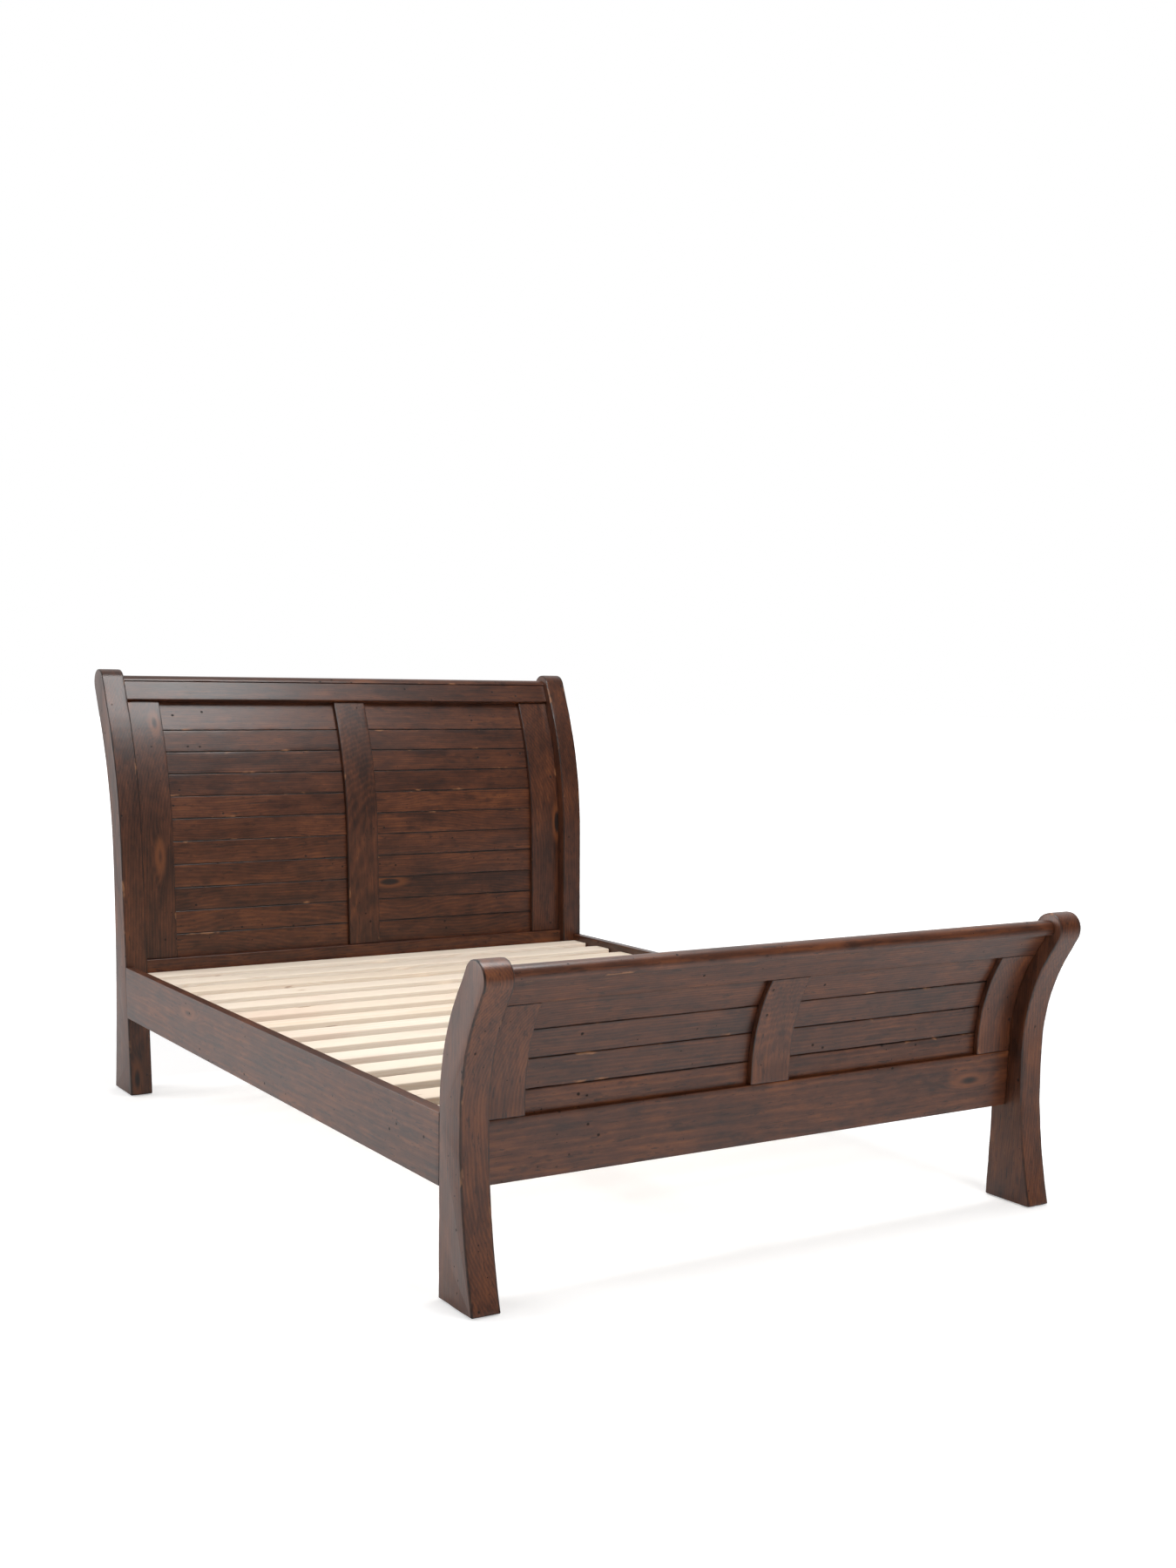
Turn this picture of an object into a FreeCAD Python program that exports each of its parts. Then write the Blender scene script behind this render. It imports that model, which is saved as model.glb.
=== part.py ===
import FreeCAD, Part
import math
import os

# Sleigh bed for a 1600 x 2000 mm mattress: a tall curved headboard and a low curved footboard,
# each a boarded panel in a planted frame between two scroll-topped posts, joined by two side rails
# that carry pine slats, with a centre beam on one leg that has a screw levelling foot.
# Millimetres. X across the bed, +Y towards the headboard, +Z up, origin on the floor at the centre.

Vector = FreeCAD.Vector

# ---- overall sizes -------------------------------------------------------------------------
MATTRESS_WIDTH = 1600.0
MATTRESS_LENGTH = 2000.0
MATTRESS_SIDE_GAP = 4.0
MATTRESS_END_GAP = 10.0
POST_WIDTH = 70.0
SCROLL_RADIUS = 41.0
GLIDE_HEIGHT = 3.0

# ---- headboard: leans back, seen from the mattress side --------------------------------------
HEAD_HEIGHT = 1304.0
HEAD_REACH = 182.0          # how far the scroll's centre stands behind the post's inner face
HEAD_LEAN = 23.3            # degrees, top part of the post
HEAD_BASE_LEAN = 2.0        # degrees, lower part of the post
HEAD_INNER_RADIUS = 1150.0
HEAD_OUTER_RADIUS = 1068.0
HEAD_WAIST = 90.5           # post depth above the flare
HEAD_WAIST_STRAIGHT = 85.0
HEAD_FLARE = 48.0           # how far the foot of the post spreads
HEAD_RAIL_FACE = 21.0       # offsets from the post's inner face, square to it
HEAD_STILE_FACE = 33.0
HEAD_BOARD_FACE = 47.0
HEAD_BACK = 61.0
HEAD_RAIL_TOP = 420.0
HEAD_TOP_RAIL_WIDTH = 60.0
HEAD_CAP_SHIFT = -1.0       # cap's middle from the scroll's, towards the back
HEAD_FIRST_SEAM = 71.5      # first board's face width above the bottom rail
HEAD_BOARDS = 11

# ---- footboard: leans away from the mattress, seen from outside ------------------------------
FOOT_HEIGHT = 743.0
FOOT_REACH = 141.0
FOOT_LEAN = 31.0
FOOT_INNER_RADIUS = 470.0
FOOT_OUTER_RADIUS = 450.0
FOOT_WAIST = 89.0
FOOT_WAIST_STRAIGHT = 11.0
FOOT_FLARE = 57.0
FOOT_BACK = 16.0
FOOT_BOARD_FACE = 30.0
FOOT_STILE_FACE = 46.0
FOOT_RAIL_TOP = 386.0
FOOT_TOP_RAIL_WIDTH = 72.0
FOOT_CAP_SHIFT = -3.0
FOOT_FIRST_SEAM = 54.0
FOOT_BOARDS = 4

# ---- panels ----------------------------------------------------------------------------------
STILE_WIDTH = 110.0
BOARD_PITCH = 72.5
BOARD_CHAMFER = 1.6
BOARD_HOUSING = 12.0        # how far the end boards enter the rails
HOUSING_CLEARANCE = 0.2
TONGUE_DEPTH = 5.0
TONGUE_THICKNESS = 4.6
TONGUE_CLEARANCE = 0.2
CAP_RADIUS = 22.0
CAP_SIDE = 2.0              # flat part of the cap's edge, below its half round and the scroll's centre
POST_EASE = 3.0
RAIL_EASE = 2.0

# ---- side rails, slats and their support -----------------------------------------------------
RAIL_BOTTOM = 247.0
SIDE_RAIL_HEIGHT = 158.0
SIDE_RAIL_THICKNESS = 28.0
SLAT_DROP = 20.0            # slat tops below the side rail's top
SLAT_COUNT = 14
SLAT_HEAD_GAP = 8.0         # first slat's edge from the head posts' faces
SLAT_FOOT_GAP = 47.0        # last slat's edge from the foot posts' faces
SLAT_WIDTH = 80.0
SLAT_THICKNESS = 20.0
SLAT_END_GAP = 2.0
SLAT_CORNER = 10.0
SLAT_EASE = 3.0
LEDGER_WIDTH = 30.0
LEDGER_HEIGHT = 40.0
LEDGER_SCREWS = 6
LEDGER_SCREW_RISE = 13.0
BEAM_WIDTH = 40.0
BEAM_HEIGHT = 80.0
HANGER_PLATE = 3.0
HANGER_DEPTH = 40.0
HANGER_WING = 20.0
HANGER_SCREW_REACH = 12.0   # screw's middle beyond the beam's side

# ---- corner brackets and fasteners -----------------------------------------------------------
BRACKET_LEG = 42.0
BRACKET_PLATE = 3.0
BRACKET_HEIGHT = 108.0
BRACKET_GAP = 3.0           # between a bracket and the ledger's end
BRACKET_SCREW_REACH = 29.0  # screws in a bracket's long leg, from its corner
BRACKET_SCREW_SHARES = (0.15, 0.5, 0.85)
PAIR_SHARES = (0.25, 0.75)  # where two fasteners stand across the height they hold
BOLT_RADIUS = 4.0
BOLT_HEAD_RADIUS = 7.0
BOLT_HEAD_HEIGHT = 4.5
BOLT_LENGTH = 20.0
INSERT_RADIUS = 6.0
INSERT_LENGTH = 18.0
THREAD_CLEARANCE = 0.05
SCREW_RADIUS = 2.2
SCREW_HEAD_RADIUS = 4.4
SCREW_CLEARANCE = 0.1
LEDGER_SCREW_LENGTH = 50.0
SLAT_SCREW_LENGTH = 35.0
BRACKET_SCREW_LENGTH = 22.0
DOWEL_RADIUS = 5.0
DOWEL_LENGTH = 60.0
DOWEL_CLEARANCE = 0.1

# ---- centre leg and its levelling foot ---------------------------------------------------------
LEG_WIDTH = 50.0
LEG_BOTTOM = 32.0
STEM_TOP = 75.0
STEM_TRAVEL = 10.0
STEM_END_ROOM = 4.0
STEM_BORE_CLEARANCE = 1.0
PAD_RADIUS = 22.0
PAD_THICKNESS = 8.0
PAD_ROUND = 2.0
BOSS_RADIUS = 9.0
BOSS_TOP = 13.0
SOCKET_FLOOR = 3.0
SOCKET_CLEARANCE = 0.3
NUT_RADIUS = 8.0
NUT_BOTTOM = 14.0
NUT_TOP = 20.0
POST_GLIDE_RADIUS = 14.0
GLIDE_PIN_RADIUS = 2.0
GLIDE_PIN_LENGTH = 12.0
GLIDE_INSET = 36.0          # glide centre from the post's inner face, and from its outer edge

# ---- how finely a height is searched for on a curved face
HALVINGS = 60

# ---- what follows from them ----------------------------------------------------------------------
INNER_WIDTH = MATTRESS_WIDTH + 2 * MATTRESS_SIDE_GAP
INNER_LENGTH = MATTRESS_LENGTH + 2 * MATTRESS_END_GAP
HALF_WIDTH = INNER_WIDTH / 2 + SIDE_RAIL_THICKNESS
POST_INSIDE = HALF_WIDTH - POST_WIDTH
RAIL_TOP = RAIL_BOTTOM + SIDE_RAIL_HEIGHT
SLAT_TOP = RAIL_TOP - SLAT_DROP
SLAT_BOTTOM = SLAT_TOP - SLAT_THICKNESS
HEAD_NOSE = HEAD_REACH + SCROLL_RADIUS
FOOT_NOSE = FOOT_REACH + SCROLL_RADIUS
OVERALL_LENGTH = FOOT_NOSE + INNER_LENGTH + HEAD_NOSE
FOOT_FACE_Y = -OVERALL_LENGTH / 2 + FOOT_NOSE
HEAD_FACE_Y = OVERALL_LENGTH / 2 - HEAD_NOSE


def prism(points, x_low, x_high):
    """Closed polygon of (y, z) points, drawn out along X from x_low to x_high."""
    corners = [Vector(x_low, y, z) for y, z in points]
    face = Part.Face(Part.makePolygon(corners + corners[:1]))
    return face.extrude(Vector(x_high - x_low, 0, 0))


def box(x_low, x_high, y_low, y_high, z_low, z_high):
    """Block between two corners."""
    return Part.makeBox(x_high - x_low, y_high - y_low, z_high - z_low, Vector(x_low, y_low, z_low))


def cylinder(radius, length, start, direction):
    """Round bar from a start point along a direction."""
    return Part.makeCylinder(radius, length, start, direction)


def ease_long_edges(shape, radius, x_low, x_high):
    """Round the edges that outline the shape's two ends in X."""
    ends = [edge for edge in shape.Edges
            if abs(edge.BoundBox.XLength) < 1e-6
            and min(abs(edge.BoundBox.XMin - x_low), abs(edge.BoundBox.XMin - x_high)) < 1e-6]
    return shape.makeFillet(radius, ends)


def ease_along_x(shape, radius):
    """Round the straight edges that run the whole length of a board in X."""
    length = shape.BoundBox.XLength
    return shape.makeFillet(radius, [e for e in shape.Edges if abs(e.BoundBox.XLength - length) < 1e-6])


class BedEnd:
    """Side outline of one end of the bed: u runs outward from the post's inner face, z up."""

    def __init__(self, sign, face_y, height, reach, base_lean, lean, inner_radius, outer_radius,
                 waist, waist_straight, flare):
        self.sign, self.face_y = sign, face_y
        self.base, self.lean = math.radians(base_lean), math.radians(lean)
        self.inner_radius, self.outer_radius = inner_radius, outer_radius
        self.waist, self.flare = waist, flare
        self.scroll = (reach, height - SCROLL_RADIUS)
        self.top_inner = self.from_scroll(-SCROLL_RADIUS, 0)
        self.top_outer = self.from_scroll(SCROLL_RADIUS, 0)
        self.start = (-RAIL_TOP * math.tan(self.base), 0.0)
        self.measure_inner_face()
        corner_z = self.top_outer[1] - (self.top_outer[0] - waist) / math.tan(self.lean)
        tangent = outer_radius * math.tan(self.lean / 2)
        self.outer_bend = (waist, corner_z - tangent)
        self.outer_straight = (waist + tangent * math.sin(self.lean),
                               corner_z + tangent * math.cos(self.lean))
        self.flare_top = self.outer_bend[1] - waist_straight

    def from_scroll(self, across, along):
        """Point at a distance across and along the leaning top, from the scroll's centre."""
        return (self.scroll[0] + across * math.cos(self.lean) + along * math.sin(self.lean),
                self.scroll[1] - across * math.sin(self.lean) + along * math.cos(self.lean))

    def measure_inner_face(self):
        """Lengths of the inner face's lower straight, its arc and its leaning top."""
        rise = self.top_inner[1] - self.start[1]
        run = self.top_inner[0] - self.start[0]
        corner = (run - rise * math.tan(self.lean)) / (math.tan(self.base) - math.tan(self.lean))
        tangent = self.inner_radius * math.tan((self.lean - self.base) / 2)
        self.lower = corner / math.cos(self.base) - tangent
        self.arc = self.inner_radius * (self.lean - self.base)
        self.upper = (rise - corner) / math.cos(self.lean) - tangent
        self.total = self.lower + self.arc + self.upper

    def point(self, distance, offset):
        """(u, z) at a distance along the inner face from the floor, offset square to it."""
        start_of_arc = (self.start[0] + self.lower * math.sin(self.base), self.lower * math.cos(self.base))
        if distance <= self.lower:
            angle = self.base
            on_face = (self.start[0] + distance * math.sin(angle), distance * math.cos(angle))
        elif distance <= self.lower + self.arc:
            angle = self.base + (distance - self.lower) / self.inner_radius
            on_face = (start_of_arc[0] + self.inner_radius * (math.cos(self.base) - math.cos(angle)),
                       start_of_arc[1] + self.inner_radius * (math.sin(angle) - math.sin(self.base)))
        else:
            angle = self.lean
            beyond = distance - self.total
            on_face = (self.top_inner[0] + beyond * math.sin(angle),
                       self.top_inner[1] + beyond * math.cos(angle))
        return on_face[0] + offset * math.cos(angle), on_face[1] - offset * math.sin(angle)

    def distance_at(self, z, offset):
        """Distance along the inner face where the offset face stands at height z."""
        low, high = 0.0, self.total + 2 * SCROLL_RADIUS
        for _ in range(HALVINGS):
            middle = (low + high) / 2
            if self.point(middle, offset)[1] < z:
                low = middle
            else:
                high = middle
        return low

    def inward(self, distance):
        """Unit vector into the post, square to its inner face."""
        return self.vertex(self.point(distance, 1), 0) - self.vertex(self.point(distance, 0), 0)

    def y(self, u):
        """Bed coordinate of an outward distance from the post's inner face."""
        return self.face_y + self.sign * u

    def place(self, points, x_low, x_high):
        """Prism of a (u, z) outline."""
        return prism([(self.y(u), z) for u, z in points], x_low, x_high)

    def vertex(self, point, x):
        """Bed position of a (u, z) point."""
        return Vector(x, self.y(point[0]), point[1])

    def line(self, first, last, x):
        """Straight edge between two (u, z) points."""
        return Part.LineSegment(self.vertex(first, x), self.vertex(last, x)).toShape()

    def bend(self, first, middle, last, x):
        """Arc through three (u, z) points."""
        return Part.Arc(self.vertex(first, x), self.vertex(middle, x), self.vertex(last, x)).toShape()

    def face_run(self, start, end, offset, x):
        """Edges that follow the inner face at an offset, between two distances along it."""
        low, high = min(start, end), max(start, end)
        marks = [low] + [m for m in (self.lower, self.lower + self.arc) if low < m < high] + [high]
        edges = []
        for first, last in zip(marks, marks[1:]):
            middle = (first + last) / 2
            ends = self.point(first, offset), self.point(last, offset)
            if self.lower < middle < self.lower + self.arc:
                edges.append(self.bend(ends[0], self.point(middle, offset), ends[1], x))
            else:
                edges.append(self.line(ends[0], ends[1], x))
        return edges

    def band(self, start, end, offset_a, offset_b, x_low, x_high):
        """Curved board that follows the inner face between two offsets."""
        edges = self.face_run(start, end, offset_a, x_low) + self.face_run(start, end, offset_b, x_low)
        for distance in (start, end):
            edges.append(self.line(self.point(distance, offset_a), self.point(distance, offset_b), x_low))
        wire = Part.Wire(Part.__sortEdges__(edges))
        return Part.Face(wire).extrude(Vector(x_high - x_low, 0, 0))


def make_ends():
    """The outlines of the headboard and the footboard."""
    head = BedEnd(1, HEAD_FACE_Y, HEAD_HEIGHT, HEAD_REACH, HEAD_BASE_LEAN, HEAD_LEAN, HEAD_INNER_RADIUS,
                  HEAD_OUTER_RADIUS, HEAD_WAIST, HEAD_WAIST_STRAIGHT, HEAD_FLARE)
    foot = BedEnd(-1, FOOT_FACE_Y, FOOT_HEIGHT, FOOT_REACH, 0.0, FOOT_LEAN, FOOT_INNER_RADIUS,
                  FOOT_OUTER_RADIUS, FOOT_WAIST, FOOT_WAIST_STRAIGHT, FOOT_FLARE)
    return head, foot


def post(end, x_low, x_high):
    """Sawn post: straight or flared below, swept outward above, ending in a half-round scroll."""
    flare_radius = (end.flare_top ** 2 + end.flare ** 2) / (2 * end.flare)

    def flare_at(z):
        return end.waist + flare_radius - math.sqrt(flare_radius ** 2 - (end.flare_top - z) ** 2)

    foot_in = end.distance_at(GLIDE_HEIGHT, 0)
    foot_out = (flare_at(GLIDE_HEIGHT), GLIDE_HEIGHT)
    flare_mid = (flare_at(end.flare_top / 2), end.flare_top / 2)
    half_lean = end.lean / 2
    centre_u = end.waist + end.outer_radius
    bend_mid = (centre_u - end.outer_radius * math.cos(half_lean),
                end.outer_bend[1] + end.outer_radius * math.sin(half_lean))
    edges = end.face_run(foot_in, end.total, 0, x_low)
    edges.append(end.bend(end.top_inner, end.from_scroll(0, SCROLL_RADIUS), end.top_outer, x_low))
    edges.append(end.line(end.top_outer, end.outer_straight, x_low))
    edges.append(end.bend(end.outer_straight, bend_mid, end.outer_bend, x_low))
    edges.append(end.line(end.outer_bend, (end.waist, end.flare_top), x_low))
    edges.append(end.bend((end.waist, end.flare_top), flare_mid, foot_out, x_low))
    edges.append(end.line(foot_out, end.point(foot_in, 0), x_low))
    wire = Part.Wire(Part.__sortEdges__(edges))
    blank = Part.Face(wire).extrude(Vector(x_high - x_low, 0, 0))
    return ease_long_edges(blank, POST_EASE, x_low, x_high)


def cap(end, shift):
    """Half-round cap between the posts, level with their scrolls' centres."""
    x = -POST_INSIDE
    near, far = shift - CAP_RADIUS, shift + CAP_RADIUS
    left, right = end.from_scroll(near, 0), end.from_scroll(far, 0)
    low_left, low_right = end.from_scroll(near, -CAP_SIDE), end.from_scroll(far, -CAP_SIDE)
    edges = [end.line(low_left, left, x), end.bend(left, end.from_scroll(shift, CAP_RADIUS), right, x),
             end.line(right, low_right, x), end.line(low_right, low_left, x)]
    return Part.Face(Part.Wire(Part.__sortEdges__(edges))).extrude(Vector(2 * POST_INSIDE, 0, 0))


def top_rail(end, offset_a, offset_b, width):
    """Rail that hangs below the cap and follows the post's leaning top."""
    corners = [end.from_scroll(offset - SCROLL_RADIUS, along)
               for offset, along in ((offset_a, -CAP_SIDE), (offset_b, -CAP_SIDE),
                                     (offset_b, -CAP_SIDE - width), (offset_a, -CAP_SIDE - width))]
    return ease_along_x(end.place(corners, -POST_INSIDE, POST_INSIDE), RAIL_EASE)


def bottom_rail(end, offset_a, offset_b, top):
    """Deep rail between the posts at the height of the side rails."""
    face = offset_b if end.sign < 0 else offset_a
    low, high = end.distance_at(RAIL_BOTTOM, face), end.distance_at(top, face)
    marks = ((low, offset_a), (high, offset_a), (high, offset_b), (low, offset_b))
    corners = [end.point(distance, offset) for distance, offset in marks]
    return ease_along_x(end.place(corners, -POST_INSIDE, POST_INSIDE), RAIL_EASE)


def board_outline(end, start, stop, offset_a, offset_b, grooved, tongued):
    """Cross-section of one flat board, with eased edges, a groove below and a tongue above."""
    ease = BOARD_CHAMFER
    middle = (offset_a + offset_b) / 2
    half = TONGUE_THICKNESS / 2
    outline = [(start + ease, offset_a), (start, offset_a + ease)]
    if grooved:
        slot = half + TONGUE_CLEARANCE
        depth = TONGUE_DEPTH + TONGUE_CLEARANCE
        outline += [(start, middle - slot), (start + depth, middle - slot),
                    (start + depth, middle + slot), (start, middle + slot)]
    outline += [(start, offset_b - ease), (start + ease, offset_b),
                (stop - ease, offset_b), (stop, offset_b - ease)]
    if tongued:
        outline += [(stop, middle + half), (stop + TONGUE_DEPTH, middle + half),
                    (stop + TONGUE_DEPTH, middle - half), (stop, middle - half)]
    outline += [(stop, offset_a + ease), (stop - ease, offset_a)]
    return [end.point(distance, offset) for distance, offset in outline]


def boards(end, count, offset_a, offset_b, face, rail_top, first_seam, rail_width):
    """Tongued boards from post to post, the end ones housed in the rails, and the housings' cutters."""
    low = end.distance_at(rail_top, face)
    high = end.total - CAP_SIDE - rail_width
    seams = [low + first_seam + BOARD_PITCH * index for index in range(count - 1)]
    marks = [low - BOARD_HOUSING] + seams + [high + BOARD_HOUSING]
    open_side = HOUSING_CLEARANCE + BOARD_HOUSING
    front, beyond = offset_a - HOUSING_CLEARANCE, offset_b + open_side
    if end.sign < 0:
        front, beyond = offset_b + HOUSING_CLEARANCE, offset_a - open_side
    pieces = []
    cutters = []
    for index in range(count):
        start, stop = marks[index], marks[index + 1]
        outline = board_outline(end, start, stop, offset_a, offset_b, index > 0, index < count - 1)
        pieces.append(end.place(outline, -POST_INSIDE, POST_INSIDE))
        if index in (0, count - 1):
            low_side = start - HOUSING_CLEARANCE if index == 0 else start
            high_side = stop if index == 0 else stop + HOUSING_CLEARANCE
            room = [(low_side, front), (low_side, beyond), (high_side, beyond), (high_side, front)]
            cutters.append(end.place([end.point(*mark) for mark in room], -POST_INSIDE, POST_INSIDE))
    return pieces, cutters


def stile(end, offset_a, offset_b, low, high, x_low, x_high, backing):
    """Curved upright planted on the boards between the rails."""
    blank = end.band(low, high, offset_a, offset_b, x_low, x_high)
    for board in backing:
        blank = blank.cut(board)
    solid = max(blank.Solids, key=lambda piece: piece.Volume)
    face_offset = offset_b if end.sign < 0 else offset_a
    front = [edge for edge in solid.Edges
             if abs(edge.BoundBox.XLength) < 1e-6 and lies_on_offset(end, edge, face_offset)]
    return solid.makeFillet(RAIL_EASE, front)


def lies_on_offset(end, edge, offset):
    """Whether an edge follows the face at this offset."""
    middle = edge.valueAt((edge.FirstParameter + edge.LastParameter) / 2)
    first = edge.valueAt(edge.FirstParameter)
    for point in (middle, first):
        u = end.sign * (point.y - end.face_y)
        nearest = end.distance_at(point.z, offset)
        if abs(end.point(nearest, offset)[0] - u) > 0.01:
            return False
    return True


def panel(end, name, cap_shift, rail_face, stile_face, board_face, back,
          rail_top, rail_width, first_seam, count):
    """Rails, boards, stiles and mullion of one end, by node name."""
    board_a, board_b = sorted((board_face, back))
    stile_a, stile_b = sorted((stile_face, board_face))
    rail_a, rail_b = sorted((rail_face, back))
    planks, cutters = boards(end, count, board_a, board_b, rail_face, rail_top, first_seam, rail_width)
    upper = top_rail(end, rail_a, rail_b, rail_width)
    lower = bottom_rail(end, rail_a, rail_b, rail_top)
    for cutter in cutters:
        upper, lower = upper.cut(cutter), lower.cut(cutter)
    nodes = {name + "_cap": cap(end, cap_shift), name + "_top_rail": upper, name + "_bottom_rail": lower}
    low = end.distance_at(rail_top, rail_face)
    high = end.total - CAP_SIDE - rail_width
    half = STILE_WIDTH / 2
    places = {"_stile_left": (-POST_INSIDE, -POST_INSIDE + STILE_WIDTH), "_mullion": (-half, half),
              "_stile_right": (POST_INSIDE - STILE_WIDTH, POST_INSIDE)}
    for suffix, (x_low, x_high) in places.items():
        nodes[name + suffix] = stile(end, stile_a, stile_b, low, high, x_low, x_high, planks)
    for index, plank in enumerate(planks, 1):
        nodes["%s_board_%02d" % (name, index)] = plank
    return nodes


def side_rail(side, ends):
    """Side rail, its ends cut to the posts' inner faces."""
    x_low, x_high = sorted((side * INNER_WIDTH / 2, side * HALF_WIDTH))
    blank = box(x_low, x_high, FOOT_FACE_Y - SIDE_RAIL_THICKNESS, HEAD_FACE_Y + SIDE_RAIL_THICKNESS,
                RAIL_BOTTOM, RAIL_TOP)
    blank = ease_edges_along_y(blank, RAIL_EASE)
    for end in ends:
        blank = cut_to_face(blank, end, 0)
    return blank


def ease_edges_along_y(shape, radius):
    """Round the edges that run the whole length of a rail in Y."""
    length = shape.BoundBox.YLength
    return shape.makeFillet(radius, [e for e in shape.Edges if abs(e.BoundBox.YLength - length) < 1e-6])


def ledger(side):
    """Batten along the inside of a side rail that carries the slats' ends."""
    x_low, x_high = sorted((side * (INNER_WIDTH / 2 - LEDGER_WIDTH), side * INNER_WIDTH / 2))
    inset = BRACKET_LEG + BRACKET_GAP
    return box(x_low, x_high, FOOT_FACE_Y + inset, HEAD_FACE_Y - inset,
               SLAT_BOTTOM - LEDGER_HEIGHT, SLAT_BOTTOM)


def slat_positions():
    """Y of each slat's middle, head to foot, evenly spread between the end panels."""
    first = HEAD_FACE_Y - SLAT_HEAD_GAP - SLAT_WIDTH / 2
    last = FOOT_FACE_Y + SLAT_FOOT_GAP + SLAT_WIDTH / 2
    step = (first - last) / (SLAT_COUNT - 1)
    return [first - step * index for index in range(SLAT_COUNT)]


def slat(y_middle):
    """Pine slat with rounded corners and softened faces."""
    half = INNER_WIDTH / 2 - SLAT_END_GAP
    blank = box(-half, half, y_middle - SLAT_WIDTH / 2, y_middle + SLAT_WIDTH / 2, SLAT_BOTTOM, SLAT_TOP)
    uprights = [e for e in blank.Edges if e.BoundBox.ZLength > SLAT_THICKNESS / 2]
    blank = blank.makeFillet(SLAT_CORNER, uprights)
    rims = [e for e in blank.Edges if e.BoundBox.ZLength < 1e-6]
    return blank.makeFillet(SLAT_EASE, rims)


def screw(point, direction, length):
    """Countersunk wood screw, its head's top at the point."""
    depth = SCREW_HEAD_RADIUS - SCREW_RADIUS
    head = Part.makeCone(SCREW_HEAD_RADIUS, SCREW_RADIUS, depth, point, direction)
    return head.fuse(cylinder(SCREW_RADIUS, length, point, direction)).removeSplitter()


def screw_hole(point, direction, length):
    """Countersunk hole for a screw."""
    depth = SCREW_HEAD_RADIUS - SCREW_RADIUS
    radius = SCREW_RADIUS + SCREW_CLEARANCE
    head = Part.makeCone(SCREW_HEAD_RADIUS + SCREW_CLEARANCE, radius, depth, point, direction)
    return head.fuse(cylinder(radius, length + SCREW_CLEARANCE, point, direction))


def cut_to_face(blank, end, offset):
    """Trim a blank so that it stops at the surface an offset behind the post's inner face."""
    bounds = blank.BoundBox
    beyond = end.band(0, end.total, offset, offset + 4 * POST_WIDTH, bounds.XMin - 1, bounds.XMax + 1)
    return max(blank.cut(beyond).Solids, key=lambda piece: piece.Volume)


def corner_bracket(side, end):
    """Steel angle in the corner between a side rail and a post."""
    inner = INNER_WIDTH / 2
    z_low = SLAT_BOTTOM - BRACKET_HEIGHT
    x_low, x_high = sorted((side * (inner - BRACKET_PLATE), side * inner))
    y_low, y_high = sorted((end.face_y + end.sign * BRACKET_LEG, end.face_y - end.sign * BRACKET_LEG))
    rail_leg = cut_to_face(box(x_low, x_high, y_low, y_high, z_low, SLAT_BOTTOM), end, 0)
    x_low, x_high = sorted((side * (POST_INSIDE + RAIL_EASE), side * inner))
    low, high = end.distance_at(z_low, 0), end.distance_at(SLAT_BOTTOM, 0)
    post_leg = end.band(low, high, -BRACKET_PLATE, 0, x_low, x_high)
    return rail_leg.fuse(post_leg).removeSplitter()


def bolt_seats(side, end):
    """Where a bracket's two bolts meet the post's inner face, and the way into the post there."""
    x = side * ((POST_INSIDE + INNER_WIDTH / 2) / 2 - BRACKET_PLATE / 2)
    distances = [end.distance_at(SLAT_BOTTOM - BRACKET_HEIGHT * share, 0) for share in PAIR_SHARES]
    return [(end.vertex(end.point(distance, 0), x), end.inward(distance)) for distance in distances]


def bolt(point, into):
    """Button-head bolt through the bracket into the post's insert."""
    seat = point - into * BRACKET_PLATE
    shank = cylinder(BOLT_RADIUS, BOLT_LENGTH, seat, into)
    head = cylinder(BOLT_HEAD_RADIUS, BOLT_HEAD_HEIGHT, seat - into * BOLT_HEAD_HEIGHT, into)
    return shank.fuse(head).removeSplitter()


def insert(point, into):
    """Threaded steel insert, its mouth at the point."""
    body = cylinder(INSERT_RADIUS, INSERT_LENGTH, point, into)
    return body.cut(cylinder(BOLT_RADIUS + THREAD_CLEARANCE, INSERT_LENGTH, point, into))


def bracket_screw_points(side, end):
    """Heads of the screws that hold a bracket to its side rail."""
    x = side * (INNER_WIDTH / 2 - BRACKET_PLATE)
    y = end.face_y - end.sign * BRACKET_SCREW_REACH
    return [Vector(x, y, SLAT_BOTTOM - BRACKET_HEIGHT * share) for share in BRACKET_SCREW_SHARES]


def ledger_screw_points(side):
    """Heads of the screws that hold a ledger to its side rail."""
    x = side * (INNER_WIDTH / 2 - LEDGER_WIDTH)
    low = FOOT_FACE_Y + BRACKET_LEG + BRACKET_GAP + LEDGER_WIDTH
    high = HEAD_FACE_Y - BRACKET_LEG - BRACKET_GAP - LEDGER_WIDTH
    step = (high - low) / (LEDGER_SCREWS - 1)
    z = SLAT_BOTTOM - LEDGER_HEIGHT + LEDGER_SCREW_RISE
    return [Vector(x, low + step * index, z) for index in range(LEDGER_SCREWS)]


def slat_screw_points(side, y_middle):
    """Head of the screw at one end of a slat; end slats are screwed off their middle, into the ledger."""
    inset = BRACKET_LEG + BRACKET_GAP + SCREW_HEAD_RADIUS * 2
    y = min(max(y_middle, FOOT_FACE_Y + inset), HEAD_FACE_Y - inset)
    return Vector(side * (INNER_WIDTH / 2 - LEDGER_WIDTH / 2), y, SLAT_TOP)


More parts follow.
